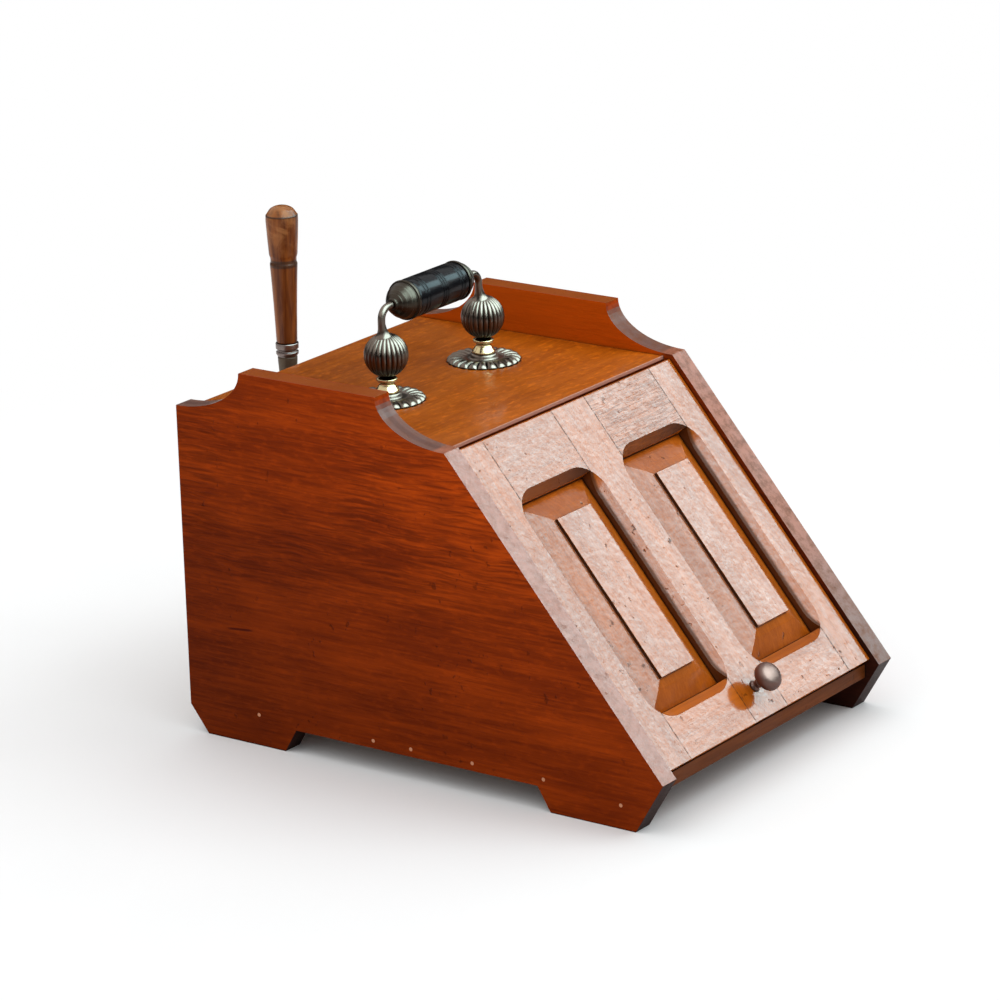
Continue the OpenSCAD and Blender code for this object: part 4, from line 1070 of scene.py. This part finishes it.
# soft round panels that the varnish mirrors: the way to the middle, inner and outer half angle
PANELS = (((0.1, -0.62, 0.78), 33, 37), ((0.774, -0.394, 0.496), 9.5, 12.5))
PANEL_TINT = (0.71, 1.04, 1.11)
PANEL_LEVEL = 8.2


class SkyNodes:
    """Short forms for the world's nodes."""

    def __init__(self, world):
        world.use_nodes = True
        self.nodes, self.links = world.node_tree.nodes, world.node_tree.links

    def add(self, kind, inputs, output=0, **settings):
        node = self.nodes.new(kind)
        for key, value in settings.items():
            setattr(node, key, value)
        for key, value in inputs.items():
            if isinstance(value, bpy.types.NodeSocket):
                self.links.new(value, node.inputs[key])
            else:
                node.inputs[key].default_value = value
        return node.outputs[output]

    def math(self, operation, a, b):
        return self.add("ShaderNodeMath", {0: a, 1: b}, operation=operation)


def panels_seen(sky, way):
    """1 where a panel stands, 0 elsewhere."""
    seen = 0.0
    for middle, inner, outer in PANELS:
        toward = sky.add("ShaderNodeVectorMath", {0: way, 1: Vector(middle).normalized()},
                         "Value", operation="DOT_PRODUCT")
        panel = sky.add("ShaderNodeMapRange", {
            "Value": toward, "From Min": math.cos(math.radians(outer)),
            "From Max": math.cos(math.radians(inner))}, interpolation_type="SMOOTHSTEP")
        seen = sky.math("MAXIMUM", panel, seen)
    return seen


def make_world():
    """White where it is seen or mirrored; as light, an even sky that is brighter above. Bright
    panels in it, above the front, give the varnish its sheen."""
    world = bpy.data.worlds.new("studio")
    bpy.context.scene.world = world
    sky = SkyNodes(world)
    way = sky.nodes.new("ShaderNodeTexCoord").outputs["Generated"]
    height = sky.add("ShaderNodeSeparateXYZ", {0: way}, "Z")
    glow = sky.add("ShaderNodeMapRange", {"Value": height, "To Min": SKY_LOW,
                                          "To Max": SKY_HIGH})
    level = sky.add("ShaderNodeMix", {
        "Factor": rays_that_show(sky.nodes.new, sky.links.new), "A": glow, "B": 1.0}, "Result")
    glossy = sky.nodes.new("ShaderNodeLightPath").outputs["Is Glossy Ray"]
    shown = sky.math("MULTIPLY", panels_seen(sky, way), glossy)
    strength = sky.add("ShaderNodeMix", {"Factor": shown, "A": level, "B": PANEL_LEVEL},
                       "Result")
    tint = sky.add("ShaderNodeMix", {"Factor": shown, 6: (1, 1, 1, 1), 7: (*PANEL_TINT, 1)}, 2,
                   data_type="RGBA")
    background = sky.nodes["Background"]
    sky.links.new(tint, background.inputs["Color"])
    sky.links.new(strength, background.inputs["Strength"])


RING_AWAY = 2.6    # the dark curtain round the object, which only mirrors show
RING_TALL = 0.95


def dark_curtain(finish):
    bm = bmesh.new()
    rim = [(RING_AWAY * math.cos(a), RING_AWAY * math.sin(a))
           for a in (2 * math.pi * k / 32 for k in range(32))]
    low = [bm.verts.new((x, y, 0.002)) for x, y in rim]
    high = [bm.verts.new((x, y, RING_TALL)) for x, y in rim]
    for k in range(32):
        bm.faces.new((low[k - 1], low[k], high[k], high[k - 1]))
    mesh = bpy.data.meshes.new("dark_curtain")
    bm.to_mesh(mesh)
    bm.free()
    curtain = bpy.data.objects.new("dark_curtain", mesh)
    bpy.context.scene.collection.objects.link(curtain)
    curtain.data.materials.append(finish)
    only_mirrored(curtain)


def make_studio():
    stage_plane("floor", (60, 60), (0, 0, 0), (0, 0, 0), floor_finish())
    card = card_finish()
    dark_card("card_right_back", (0.774, 0.557, 0.36), 1.6, (1.1, 0.9), card)
    dark_curtain(card)
    softbox("key", (0.35, -0.55, 0.76), 2.6, (1.6, 1.2), 2.2)
    make_world()
    bpy.context.scene.view_settings.view_transform = "Standard"


make_studio()
